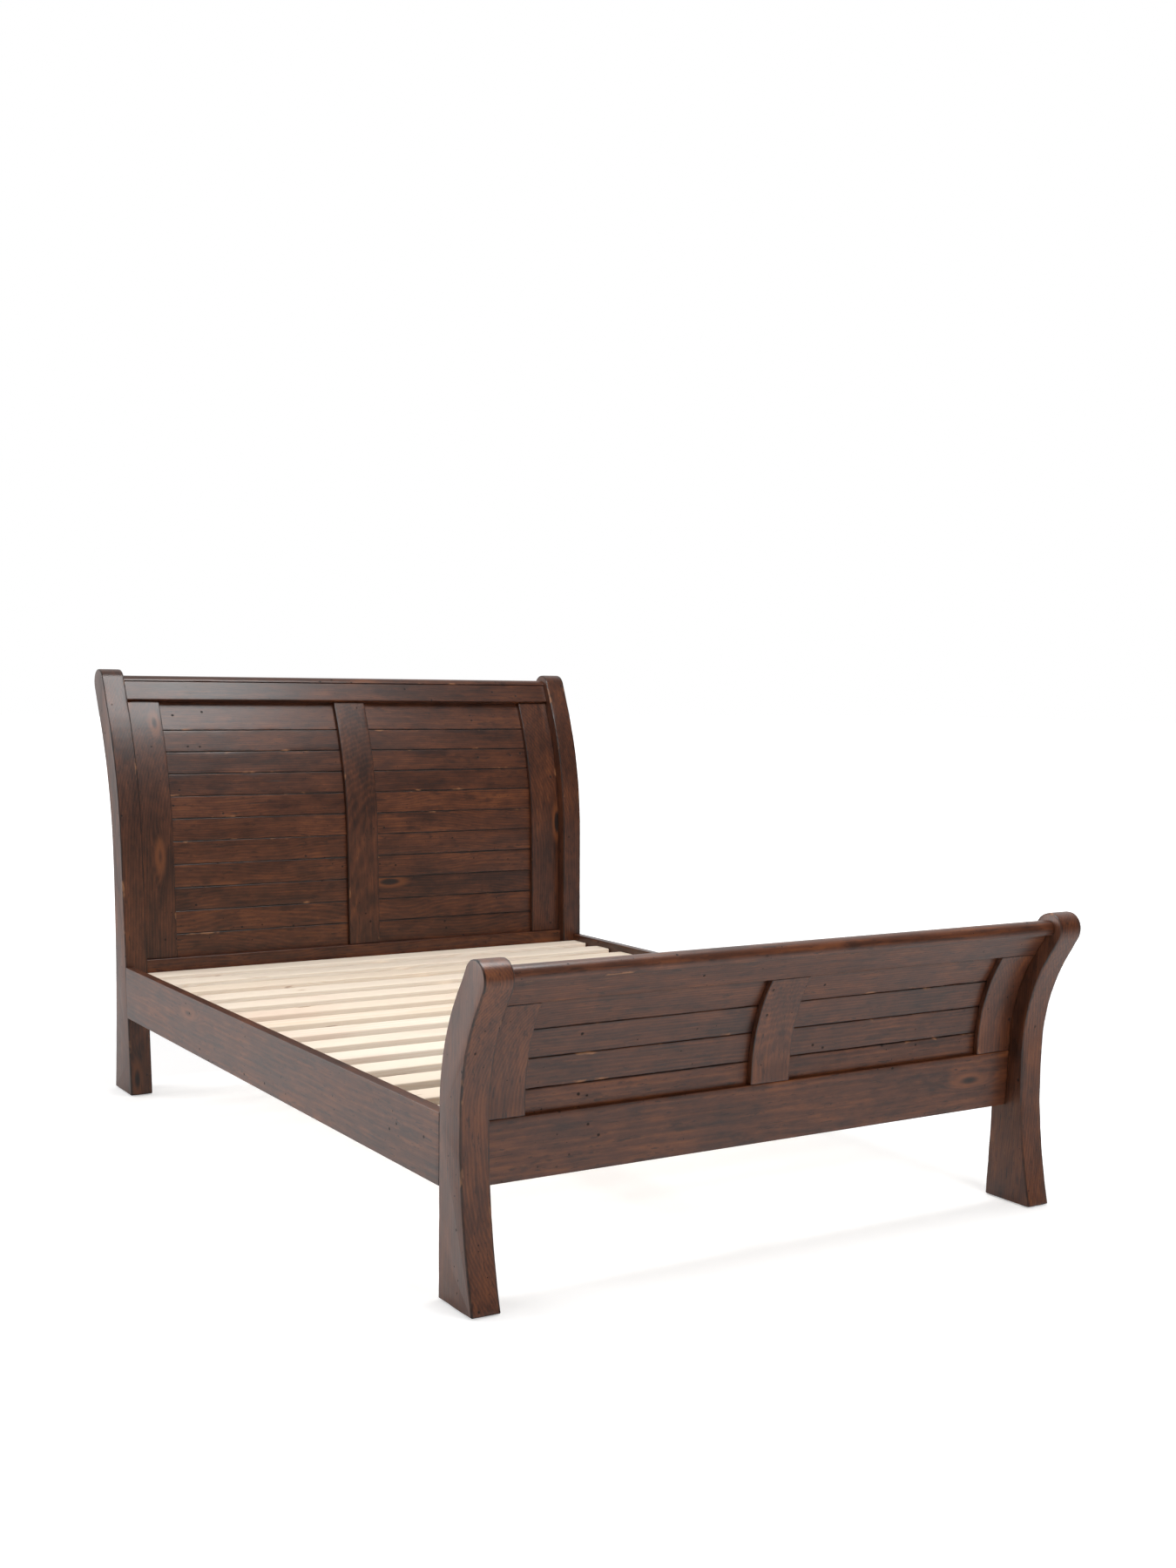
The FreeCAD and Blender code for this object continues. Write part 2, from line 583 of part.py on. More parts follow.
def dowel_rows(end, name, rail_face, board_face, rail_top, rail_width):
    """Dowel axes at the ends of one panel's two rails, in front of the boards: (rail node, y, z)."""
    middle = (rail_face + board_face) / 2
    rows = []
    for share in PAIR_SHARES:
        low, high = end.distance_at(RAIL_BOTTOM, middle), end.distance_at(rail_top, middle)
        rows.append((name + "_bottom_rail", end.point(low + (high - low) * share, middle)))
        upper = end.from_scroll(middle - SCROLL_RADIUS, -CAP_SIDE - rail_width * share)
        rows.append((name + "_top_rail", upper))
    return [(node, end.y(point[0]), point[1]) for node, point in rows]


def glide_places(side, end):
    """Floor positions of the two glides under a post."""
    x = side * (HALF_WIDTH - POST_WIDTH / 2)
    depth = end.waist + end.flare
    inner = end.start[0]
    return [Vector(x, end.y(u), 0) for u in (inner + GLIDE_INSET, depth - GLIDE_INSET)]


def post_glide(place):
    """Nylon glide with its pin driven into the post's foot."""
    disc = cylinder(POST_GLIDE_RADIUS, GLIDE_HEIGHT, place, Vector(0, 0, 1))
    pin = cylinder(GLIDE_PIN_RADIUS, GLIDE_HEIGHT + GLIDE_PIN_LENGTH, place, Vector(0, 0, 1))
    return disc.fuse(pin).removeSplitter()


def levelling_pad():
    """Round pad with a socket for the stem's end."""
    up = Vector(0, 0, 1)
    disc = cylinder(PAD_RADIUS, PAD_THICKNESS, Vector(0, 0, 0), up)
    disc = disc.makeFillet(PAD_ROUND, [e for e in disc.Edges if e.BoundBox.ZMin > PAD_THICKNESS / 2])
    boss = cylinder(BOSS_RADIUS, BOSS_TOP, Vector(0, 0, 0), up)
    socket = cylinder(BOLT_RADIUS + SOCKET_CLEARANCE, BOSS_TOP, Vector(0, 0, SOCKET_FLOOR), up)
    return disc.fuse(boss).cut(socket).removeSplitter()


def levelling_stem():
    """Threaded stem with a hexagon collar for a spanner."""
    bottom = SOCKET_FLOOR + SOCKET_CLEARANCE
    rod = cylinder(BOLT_RADIUS, STEM_TOP - bottom, Vector(0, 0, bottom), Vector(0, 0, 1))
    turns = [math.radians(60 * corner) for corner in range(7)]
    corners = [Vector(NUT_RADIUS * math.cos(turn), NUT_RADIUS * math.sin(turn), NUT_BOTTOM) for turn in turns]
    collar = Part.Face(Part.makePolygon(corners)).extrude(Vector(0, 0, NUT_TOP - NUT_BOTTOM))
    return rod.fuse(collar).removeSplitter()


def add_panels(nodes, head, foot):
    """Headboard and footboard panels."""
    nodes.update(panel(head, "head", HEAD_CAP_SHIFT, HEAD_RAIL_FACE, HEAD_STILE_FACE, HEAD_BOARD_FACE,
                       HEAD_BACK, HEAD_RAIL_TOP, HEAD_TOP_RAIL_WIDTH, HEAD_FIRST_SEAM, HEAD_BOARDS))
    nodes.update(panel(foot, "foot", FOOT_CAP_SHIFT, FOOT_STILE_FACE, FOOT_STILE_FACE, FOOT_BOARD_FACE,
                       FOOT_BACK, FOOT_RAIL_TOP, FOOT_TOP_RAIL_WIDTH, FOOT_FIRST_SEAM, FOOT_BOARDS))


def add_posts_and_dowels(nodes, head, foot):
    """Posts, the dowels that join the panels' rails to them, and the holes for both."""
    panels = ((head, "head", HEAD_RAIL_FACE, HEAD_BOARD_FACE, HEAD_RAIL_TOP, HEAD_TOP_RAIL_WIDTH),
              (foot, "foot", FOOT_STILE_FACE, FOOT_BOARD_FACE, FOOT_RAIL_TOP, FOOT_TOP_RAIL_WIDTH))
    dowels = []
    for side, word in ((-1, "left"), (1, "right")):
        for end, name, rail_face, board_face, rail_top, rail_width in panels:
            blank = post(end, *sorted((side * POST_INSIDE, side * HALF_WIDTH)))
            for node, y, z in dowel_rows(end, name, rail_face, board_face, rail_top, rail_width):
                start = Vector(side * POST_INSIDE - DOWEL_LENGTH / 2, y, z)
                dowels.append(cylinder(DOWEL_RADIUS, DOWEL_LENGTH, start, Vector(1, 0, 0)))
                start = start - Vector(DOWEL_CLEARANCE, 0, 0)
                hole = cylinder(DOWEL_RADIUS + DOWEL_CLEARANCE, DOWEL_LENGTH + 2 * DOWEL_CLEARANCE,
                                start, Vector(1, 0, 0))
                blank = blank.cut(hole)
                nodes[node] = nodes[node].cut(hole)
            nodes["%s_post_%s" % (name, word)] = blank
    nodes["rail_dowels"] = dowels


def add_side_rails(nodes, ends):
    """Side rails, ledgers, corner brackets and what fastens them."""
    brackets, bolts, inserts, screws = [], [], [], []
    for side, word in ((-1, "left"), (1, "right")):
        outward = Vector(side, 0, 0)
        rail = side_rail(side, ends)
        batten = ledger(side)
        for point in ledger_screw_points(side):
            screws.append(screw(point, outward, LEDGER_SCREW_LENGTH))
            hole = screw_hole(point, outward, LEDGER_SCREW_LENGTH)
            rail, batten = rail.cut(hole), batten.cut(hole)
        for end, name in zip(ends, ("head", "foot")):
            bracket = corner_bracket(side, end)
            post_name = "%s_post_%s" % (name, word)
            for point, into in bolt_seats(side, end):
                bolts.append(bolt(point, into))
                inserts.append(insert(point, into))
                behind = point - into * BRACKET_PLATE
                bracket = bracket.cut(cylinder(BOLT_RADIUS + SCREW_CLEARANCE, 2 * BRACKET_PLATE, behind, into))
                nodes[post_name] = nodes[post_name].cut(cylinder(INSERT_RADIUS, INSERT_LENGTH, point, into))
            for point in bracket_screw_points(side, end):
                screws.append(screw(point, outward, BRACKET_SCREW_LENGTH))
                hole = screw_hole(point, outward, BRACKET_SCREW_LENGTH)
                rail, bracket = rail.cut(hole), bracket.cut(hole)
            brackets.append(bracket)
        nodes["side_rail_" + word] = rail
        nodes["slat_ledger_" + word] = batten
    nodes.update({"corner_brackets": brackets, "bed_bolts": bolts, "threaded_inserts": inserts,
                  "wood_screws": screws})


def add_slats(nodes):
    """Slats and the screws that hold them to the ledgers."""
    for index, y_middle in enumerate(slat_positions(), 1):
        board = slat(y_middle)
        for side, word in ((-1, "left"), (1, "right")):
            point = slat_screw_points(side, y_middle)
            down = Vector(0, 0, -1)
            hole = screw_hole(point, down, SLAT_SCREW_LENGTH)
            board = board.cut(hole)
            nodes["slat_ledger_" + word] = nodes["slat_ledger_" + word].cut(hole)
            nodes["wood_screws"].append(screw(point, down, SLAT_SCREW_LENGTH))
        nodes["slat_%02d" % index] = board


def beam_hanger(end, face, half, beam_bottom):
    """Steel hanger: a seat for the beam's end with a plate screwed to the panel's bottom rail."""
    low = end.distance_at(beam_bottom - HANGER_PLATE, face)
    high = end.distance_at(SLAT_BOTTOM - HANGER_PLATE, face)
    wing = half + HANGER_WING
    plate = end.band(low, high, face - HANGER_PLATE, face, -wing, wing)
    y_low, y_high = sorted((end.y(face - HANGER_DEPTH), end.y(face + HANGER_DEPTH)))
    seat = box(-half - HANGER_PLATE, half + HANGER_PLATE, y_low, y_high,
               beam_bottom - HANGER_PLATE, SLAT_BOTTOM - HANGER_PLATE)
    room = box(-half, half, y_low - 1, y_high + 1, beam_bottom, SLAT_BOTTOM)
    return cut_to_face(seat.cut(room), end, face).fuse(plate).removeSplitter()


def hanger_screw_seats(end, face, half, beam_bottom):
    """Heads of the screws through a hanger's plate, two on each side of the beam, and the way in."""
    seats = []
    for x in (-half - HANGER_SCREW_REACH, half + HANGER_SCREW_REACH):
        for share in PAIR_SHARES:
            distance = end.distance_at(beam_bottom + BEAM_HEIGHT * share, face - HANGER_PLATE)
            seats.append((end.vertex(end.point(distance, face - HANGER_PLATE), x), end.inward(distance)))
    return seats


def add_centre_support(nodes, ends):
    """Centre beam, its hangers on the end rails, the leg and the levelling foot."""
    half = BEAM_WIDTH / 2
    beam_bottom = SLAT_BOTTOM - BEAM_HEIGHT
    hangers = []
    beam = box(-half, half, FOOT_FACE_Y - POST_WIDTH, HEAD_FACE_Y + POST_WIDTH, beam_bottom, SLAT_BOTTOM)
    for end, name, face in zip(ends, ("head", "foot"), (HEAD_RAIL_FACE, FOOT_BACK)):
        hanger = beam_hanger(end, face, half, beam_bottom)
        beam = cut_to_face(beam, end, face - HANGER_PLATE)
        for point, into in hanger_screw_seats(end, face, half, beam_bottom):
            hole = screw_hole(point, into, BRACKET_SCREW_LENGTH)
            hanger, nodes[name + "_bottom_rail"] = hanger.cut(hole), nodes[name + "_bottom_rail"].cut(hole)
            nodes["wood_screws"].append(screw(point, into, BRACKET_SCREW_LENGTH))
        hangers.append(hanger)
    leg_top = beam_bottom
    leg = box(-LEG_WIDTH / 2, LEG_WIDTH / 2, -LEG_WIDTH / 2, LEG_WIDTH / 2, LEG_BOTTOM, leg_top)
    leg = leg.makeFillet(RAIL_EASE, [e for e in leg.Edges if e.BoundBox.ZLength > LEG_WIDTH])
    up = Vector(0, 0, 1)
    leg = leg.cut(cylinder(INSERT_RADIUS, INSERT_LENGTH, Vector(0, 0, LEG_BOTTOM), up))
    bore_length = STEM_TOP + STEM_TRAVEL + STEM_END_ROOM - LEG_BOTTOM
    leg = leg.cut(cylinder(BOLT_RADIUS + STEM_BORE_CLEARANCE, bore_length, Vector(0, 0, LEG_BOTTOM), up))
    peg_start = Vector(0, 0, leg_top - DOWEL_LENGTH / 2)
    nodes["rail_dowels"].append(cylinder(DOWEL_RADIUS, DOWEL_LENGTH, peg_start, up))
    peg_hole = cylinder(DOWEL_RADIUS + DOWEL_CLEARANCE, DOWEL_LENGTH + 2 * DOWEL_CLEARANCE,
                        peg_start - up * DOWEL_CLEARANCE, up)
    nodes["threaded_inserts"].append(insert(Vector(0, 0, LEG_BOTTOM), up))
    nodes.update({"centre_beam": beam.cut(peg_hole), "beam_hangers": hangers, "centre_leg": leg.cut(peg_hole),
                  "levelling_pad": levelling_pad(), "levelling_stem": levelling_stem()})


def add_post_glides(nodes, ends):
    """Glides under the posts and the holes for their pins."""
    glides = []
    for side, word in ((-1, "left"), (1, "right")):
        for end, name in zip(ends, ("head", "foot")):
            post_name = "%s_post_%s" % (name, word)
            for place in glide_places(side, end):
                glides.append(post_glide(place))
                hole = cylinder(GLIDE_PIN_RADIUS + SCREW_CLEARANCE,
                                GLIDE_HEIGHT + GLIDE_PIN_LENGTH + SCREW_CLEARANCE, place, Vector(0, 0, 1))
                nodes[post_name] = nodes[post_name].cut(hole)
    nodes["post_glides"] = glides


def main():
    """Build every node and write it to its own file."""
    ends = make_ends()
    nodes = {}
    add_panels(nodes, *ends)
    add_posts_and_dowels(nodes, *ends)
    add_side_rails(nodes, ends)
    add_slats(nodes)
    add_centre_support(nodes, ends)
    add_post_glides(nodes, ends)
    os.makedirs("parts", exist_ok=True)
    for name, shape in sorted(nodes.items()):
        if isinstance(shape, list):
            shape = Part.makeCompound(shape)
        print(name, "solids", len(shape.Solids), "valid", shape.isValid(), "volume", round(shape.Volume))
        shape.exportStep(os.path.join("parts", name + ".step"))
    print(len(nodes), "nodes")


main()
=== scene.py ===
import logging
import math
import random
from dataclasses import dataclass, field
from enum import Enum
from typing import Any, Callable, Iterable, Sequence

import bmesh
import bpy
import numpy as np
from mathutils import Matrix, Vector, noise


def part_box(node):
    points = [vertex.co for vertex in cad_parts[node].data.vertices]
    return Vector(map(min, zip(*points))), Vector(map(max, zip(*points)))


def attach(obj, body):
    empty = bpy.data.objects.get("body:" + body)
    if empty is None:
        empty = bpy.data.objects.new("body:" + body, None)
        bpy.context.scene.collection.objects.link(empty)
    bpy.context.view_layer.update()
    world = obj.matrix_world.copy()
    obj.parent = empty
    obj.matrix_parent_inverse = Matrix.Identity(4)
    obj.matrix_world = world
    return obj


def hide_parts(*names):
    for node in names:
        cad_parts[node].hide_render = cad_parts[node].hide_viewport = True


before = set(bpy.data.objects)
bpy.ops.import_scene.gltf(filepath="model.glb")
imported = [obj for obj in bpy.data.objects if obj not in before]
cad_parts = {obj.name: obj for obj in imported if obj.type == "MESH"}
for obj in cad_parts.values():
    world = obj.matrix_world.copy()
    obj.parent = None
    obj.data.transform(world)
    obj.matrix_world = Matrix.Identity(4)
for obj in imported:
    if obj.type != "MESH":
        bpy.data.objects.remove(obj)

LOG = logging.getLogger("sleigh_bed")
MM = 0.001

Point = tuple[float, float]
Colour = tuple[float, float, float]


# ---------------------------------------------------------------- node trees written as expressions

class Grain(Enum):
    """Which way the fibres of a piece run."""

    ACROSS_BED = 0
    ALONG_BED = 1
    UPRIGHT = 2


class Signal:
    """A number on a node socket; arithmetic on it adds Math nodes."""

    def __init__(self, bench: "Bench", socket: bpy.types.NodeSocket) -> None:
        """Wrap a socket of the bench's tree."""
        self.bench = bench
        self.socket = socket

    def _math(self, operation: str, *values: Any, clamp: bool = False) -> "Signal":
        """Add one Math node on the given values."""
        inputs = {index: value for index, value in enumerate(values)}
        node = self.bench.node("Math", {"operation": operation, "use_clamp": clamp}, inputs)
        return Signal(self.bench, node.outputs[0])

    def __add__(self, other: Any) -> "Signal":
        """Sum."""
        return self._math("ADD", self, other)

    __radd__ = __add__

    def __sub__(self, other: Any) -> "Signal":
        """Difference."""
        return self._math("SUBTRACT", self, other)

    def __rsub__(self, other: Any) -> "Signal":
        """Reflected difference."""
        return self._math("SUBTRACT", other, self)

    def __mul__(self, other: Any) -> "Signal":
        """Product."""
        return self._math("MULTIPLY", self, other)

    __rmul__ = __mul__

    def __truediv__(self, other: Any) -> "Signal":
        """Quotient."""
        return self._math("DIVIDE", self, other)

    def __pow__(self, other: Any) -> "Signal":
        """Power."""
        return self._math("POWER", self, other)

    def sine(self) -> "Signal":
        """Sine of an angle in radians."""
        return self._math("SINE", self)

    def root(self) -> "Signal":
        """Square root."""
        return self._math("SQRT", self)

    def floor(self) -> "Signal":
        """Whole number below."""
        return self._math("FLOOR", self)

    def top(self, other: Any) -> "Signal":
        """Larger of two."""
        return self._math("MAXIMUM", self, other)

    def clamp(self) -> "Signal":
        """Limited to between nothing and one."""
        return self._math("ADD", self, 0.0, clamp=True)

    def ramp(self, low: float, high: float) -> "Signal":
        """Smooth step that rises from low to high; a low above high makes it fall.

        Args:
            low: Value where the step is nought.
            high: Value where the step is one.

        Returns:
            The stepped value.
        """
        rising = low < high
        node = self.bench.node(
            "MapRange",
            {"interpolation_type": "SMOOTHSTEP"},
            {"Value": self, "From Min": min(low, high), "From Max": max(low, high),
             "To Min": 0.0 if rising else 1.0, "To Max": 1.0 if rising else 0.0},
        )
        return Signal(self.bench, node.outputs[0])


class Bench:
    """Where a node tree is put together."""

    def __init__(self, tree: bpy.types.NodeTree) -> None:
        """Start with an existing tree."""
        self.tree = tree

    def node(self, kind: str, settings: dict[str, Any] | None = None,
             inputs: dict[Any, Any] | None = None) -> bpy.types.Node:
        """Add a node, set it up, then fill or link its sockets.

        Args:
            kind: Node type without its prefix.
            settings: Attributes set first; "stops" fills a colour ramp.
            inputs: Socket name or place to a value, a Signal or a socket.

        Returns:
            The new node.
        """
        prefixes = ("GeometryNode", "FunctionNode", "ShaderNode")
        if isinstance(self.tree, bpy.types.ShaderNodeTree):
            prefixes = ("ShaderNode",)
        full_name = next(prefix + kind for prefix in prefixes if hasattr(bpy.types, prefix + kind))
        node = self.tree.nodes.new(full_name)
        for name, value in (settings or {}).items():
            if name == "stops":
                self._fill_ramp(node, value)
            else:
                setattr(node, name, value)
        for place, value in (inputs or {}).items():
            self.feed(self.free_input(node, place), value)
        return node

    @staticmethod
    def free_input(node: bpy.types.Node, place: Any) -> bpy.types.NodeSocket:
        """Socket by place, or the first enabled one of that name."""
        if isinstance(place, int):
            return node.inputs[place]
        return next(s for s in node.inputs if s.name == place and s.enabled)

    def feed(self, socket: bpy.types.NodeSocket, value: Any) -> None:
        """Link a Signal or a socket, or set a plain value."""
        if isinstance(value, Signal):
            value = value.socket
        if isinstance(value, bpy.types.NodeSocket):
            self.tree.links.new(value, socket)
        elif isinstance(value, tuple) and socket.type == "RGBA":
            socket.default_value = (*value, 1.0)
        else:
            socket.default_value = value

    @staticmethod
    def _fill_ramp(node: bpy.types.Node, stops: Sequence[tuple[float, Colour]]) -> None:
        """Give a colour ramp its stops."""
        elements = node.color_ramp.elements
        while len(elements) < len(stops):
            elements.new(0.5)
        for element, (place, colour) in zip(elements, stops):
            element.position = place
            element.color = (*colour, 1.0)

    def attribute(self, name: str) -> bpy.types.Node:
        """Read one of the mesh's own attributes."""
        return self.node("Attribute", {"attribute_name": name, "attribute_type": "GEOMETRY"})

    def stretch(self, vector: Any, scale: Sequence[float], shift: Sequence[float] = (0.0, 0.0, 0.0)) -> Any:
        """Scale and shift a vector.

        Args:
            vector: Vector socket.
            scale: Factor on each component.
            shift: Added after scaling.

        Returns:
            The vector output.
        """
        node = self.node("VectorMath", {"operation": "MULTIPLY_ADD"},
                         {0: vector, 1: tuple(scale), 2: tuple(shift)})
        return node.outputs[0]

    def noise(self, vector: Any, scale: float = 1.0, detail: float = 2.0, rough: float = 0.5,
              distortion: float = 0.0) -> Signal:
        """Cloud noise, nought to one, around a half."""
        node = self.node("TexNoise", {"noise_dimensions": "3D"},
                         {"Vector": vector, "Scale": scale, "Detail": detail, "Roughness": rough,
                          "Distortion": distortion})
        return Signal(self, node.outputs[0])

    def cells(self, vector: Any, scale: float = 1.0, feature: str = "F1") -> tuple[Signal, Any]:
        """Distance to the nearest scattered point, and that point's own random colour."""
        node = self.node("TexVoronoi", {"feature": feature}, {"Vector": vector, "Scale": scale})
        return Signal(self, node.outputs["Distance"]), node.outputs["Color"]

    def blend(self, factor: Any, first: Any, second: Any, mode: str = "MIX") -> Any:
        """Mix two colours.

        Args:
            factor: Share of the second.
            first: Colour or socket.
            second: Colour or socket.
            mode: How they mix.

        Returns:
            The colour output.
        """
        node = self.node("Mix", {"data_type": "RGBA", "blend_type": mode, "clamp_factor": True},
                         {"Factor": factor, "A": first, "B": second})
        return next(s for s in node.outputs if s.enabled)

    def split(self, vector: Any) -> tuple[Signal, Signal, Signal]:
        """The three parts of a vector."""
        node = self.node("SeparateXYZ", None, {0: vector})
        return tuple(Signal(self, out) for out in node.outputs)

    def colours(self, factor: Signal, stops: Sequence[tuple[float, Colour]]) -> Any:
        """Colour ramp along a value."""
        return self.node("ValToRGB", {"stops": stops}, {0: factor}).outputs[0]


def new_material(name: str) -> tuple[bpy.types.Material, Bench, bpy.types.Node]:
    """Empty material with a Principled shader.

    Args:
        name: The material's name.

    Returns:
        The material, the bench for its tree and the shader node.
    """
    material = bpy.data.materials.new(name)
    material.use_nodes = True
    material.node_tree.nodes.clear()
    bench = Bench(material.node_tree)
    shader = bench.node("BsdfPrincipled")
    bench.node("OutputMaterial", None, {"Surface": shader.outputs[0]})
    return material, bench, shader


# ---------------------------------------------------------------- finishes

@dataclass(frozen=True)
class StainedPine:
    """Old pine boards under a dark walnut stain and a worn satin lacquer."""

    name: str = "stained_pine"
    shade: Colour = (0.0225, 0.0078, 0.0044)
    body: Colour = (0.0790, 0.0238, 0.0094)
    warm: Colour = (0.190, 0.0590, 0.0180)
    bare: Colour = (0.34, 0.15, 0.065)
    # Near-black for knots, holes and cracks; also used as painted shade along the arrises and in the joints between
    # parts.
    soot_and_shade: Colour = (0.0075, 0.0042, 0.0032)
    ring_pitch: float = 0.0052
    roughness: float = 0.40
    coat: float = 0.30
    coat_roughness: float = 0.27
    bump: float = 0.35

    def make(self) -> bpy.types.Material:
        """Build the material.

        Returns:
            The finished material.
        """
        material, bench, shader = new_material(self.name)
        grain = bench.attribute("grain").outputs["Vector"]
        edge = Signal(bench, bench.attribute("edge").outputs["Fac"])
        tone = Signal(bench, bench.attribute("tone").outputs["Fac"])
        rings, knot, knot_rim = self.rings_and_knots(bench, grain)
        streaks = bench.noise(bench.stretch(grain, (5.0, 150.0, 150.0)), 1.0, 4.0, 0.6)
        fibres = bench.noise(bench.stretch(grain, (14.0, 700.0, 700.0)), 1.0, 3.0, 0.6)
        clouds = bench.noise(bench.stretch(grain, (3.4, 12.0, 12.0)), 1.0, 4.0, 0.62)
        smudge = bench.noise(bench.stretch(grain, (9.0, 30.0, 30.0), (3.1, 1.7, 0.4)), 1.0, 4.0, 0.65)
        holes = self.holes(bench, grain)
        cracks = self.cracks(bench, grain)

        blotch = bench.noise(bench.stretch(grain, (13.0, 34.0, 34.0), (1.3, 0.2, 9.1)), 1.0, 4.0, 0.7)
        depth = (rings * 0.18 + streaks * 0.80 + fibres * 0.30 + clouds * 0.95 + blotch * 0.95 + tone * 0.38
                 - 1.37)
        colour = bench.colours(depth.clamp(), [
            (0.0, self.shade), (0.45, self.body), (1.0, self.warm)])
        flecks = bench.noise(bench.stretch(grain, (26.0, 150.0, 150.0), (0.7, 2.9, 6.1)), 1.0, 3.0, 0.6)
        dark = (smudge.ramp(0.58, 0.70) * 0.66).top(flecks.ramp(0.60, 0.68) * 0.80)
        colour = bench.blend(dark, colour, self.shade)
        colour = bench.blend(knot_rim * 0.55, colour, self.warm)
        colour = bench.blend(knot * 0.9, colour, self.soot_and_shade)
        colour = bench.blend((holes * 0.92).top(cracks * 0.8), colour, self.soot_and_shade)
        rubbed = self.rubbed_edge(bench, grain, edge)
        # Darkened within about 2 mm of every arris: partly grime, partly painted shade on the rounded arrises and
        # in the joints between boards and rails.
        grime_and_joint_shade = edge.ramp(0.0020, 0.0002) * (smudge * 2.2 - 0.45)
        colour = bench.blend(grime_and_joint_shade.clamp(), colour, self.soot_and_shade)
        colour = bench.blend(rubbed, colour, self.bare)
        bench.feed(bench.free_input(shader, "Base Color"), colour)

        rough = self.roughness + clouds * 0.12 + holes * 0.3 + knot * 0.1 - fibres * 0.05
        bench.feed(bench.free_input(shader, "Roughness"), rough.clamp())
        bench.feed(bench.free_input(shader, "Coat Weight"), self.coat * (1 - holes.top(rubbed)))
        bench.feed(bench.free_input(shader, "Coat Roughness"), self.coat_roughness)
        dents = bench.noise(bench.stretch(grain, (14.0, 30.0, 30.0)), 1.0, 2.0, 0.5)
        height = (dents * 0.9 + fibres * 0.10 + streaks * 0.16 + rings * 0.06
                  - holes * 0.8 - cracks * 0.5 - knot * 0.25)
        bump = bench.node("Bump", None, {"Strength": self.bump, "Distance": 0.0016, "Height": height})
        bench.feed(bench.free_input(shader, "Normal"), bump.outputs[0])
        return material

    def rings_and_knots(self, bench: Bench, grain: Any) -> tuple[Signal, Signal, Signal]:
        """Growth rings about a wandering pith, bent round scattered knots.

        Args:
            bench: Where the nodes go.
            grain: Along, across and through the wood.

        Returns:
            Ring tone, knot mask and the mask of its rim.
        """
        near, hue = bench.cells(bench.stretch(grain, (2.4, 8.5, 8.5)), 1.0)
        rare, _, _ = bench.split(hue)
        present = rare.ramp(0.55, 0.60)
        knot = near.ramp(0.115, 0.055) * present
        rim = near.ramp(0.22, 0.11) * present * (1 - knot)
        wander = bench.noise(bench.stretch(grain, (1.1, 2.0, 2.0)), 1.0, 2.0, 0.5)
        ripple = bench.noise(bench.stretch(grain, (6.0, 40.0, 40.0)), 1.0, 2.0, 0.5)
        _, across, through = bench.split(grain)
        off_across = across + (wander - 0.5) * 0.11
        off_through = through + 0.045 + (wander - 0.5) * 0.07
        radius = (off_across * off_across + off_through * off_through).root()
        radius = radius + ripple * 0.006 + near.ramp(0.32, 0.02) * present * 0.016
        wave = (radius * (2 * math.pi / self.ring_pitch)).sine() * 0.5 + 0.5
        return wave ** 1.7, knot, rim

    @staticmethod
    def holes(bench: Bench, grain: Any) -> Signal:
        """Old nail holes and worm holes, in loose groups."""
        near, hue = bench.cells(bench.stretch(grain, (62.0, 62.0, 62.0)), 1.0)
        keep, size, _ = bench.split(hue)
        group = bench.noise(bench.stretch(grain, (9.0, 12.0, 12.0), (7.7, 2.3, 5.1)), 1.0, 1.0, 0.4)
        small = (size * 0.09 + 0.05 - near).ramp(0.0, 0.025)
        near_nail, hue_nail = bench.cells(bench.stretch(grain, (30.0, 36.0, 36.0), (0.3, 0.9, 0.1)), 1.0)
        keep_nail, _, _ = bench.split(hue_nail)
        board = bench.noise(bench.stretch(grain, (5.0, 7.0, 7.0), (4.4, 8.3, 2.1)), 1.0, 1.0, 0.4)
        nail = near_nail.ramp(0.150, 0.095) * keep_nail.ramp(0.50, 0.52) * board.ramp(0.53, 0.58)
        return (small * group.ramp(0.52, 0.58) * keep.ramp(0.35, 0.40)).top(nail)

    @staticmethod
    def cracks(bench: Bench, grain: Any) -> Signal:
        """Short dark checks along the fibres."""
        line = bench.noise(bench.stretch(grain, (7.0, 210.0, 210.0), (1.9, 4.2, 8.8)), 1.0, 2.0, 0.6)
        place = bench.noise(bench.stretch(grain, (8.0, 14.0, 14.0), (5.0, 3.0, 1.0)), 1.0, 1.0, 0.4)
        return line.ramp(0.665, 0.72) * place.ramp(0.52, 0.62)

    @staticmethod
    def rubbed_edge(bench: Bench, grain: Any, edge: Signal) -> Signal:
        """Where the stain is rubbed through on the arrises."""
        patch = bench.noise(bench.stretch(grain, (11.0, 20.0, 20.0), (2.2, 6.1, 3.3)), 1.0, 3.0, 0.6)
        width = bench.noise(bench.stretch(grain, (60.0, 60.0, 60.0)), 1.0, 2.0, 0.6)
        return (width * 0.010 - edge).ramp(0.0, 0.003) * patch.ramp(0.61, 0.72) * 0.60


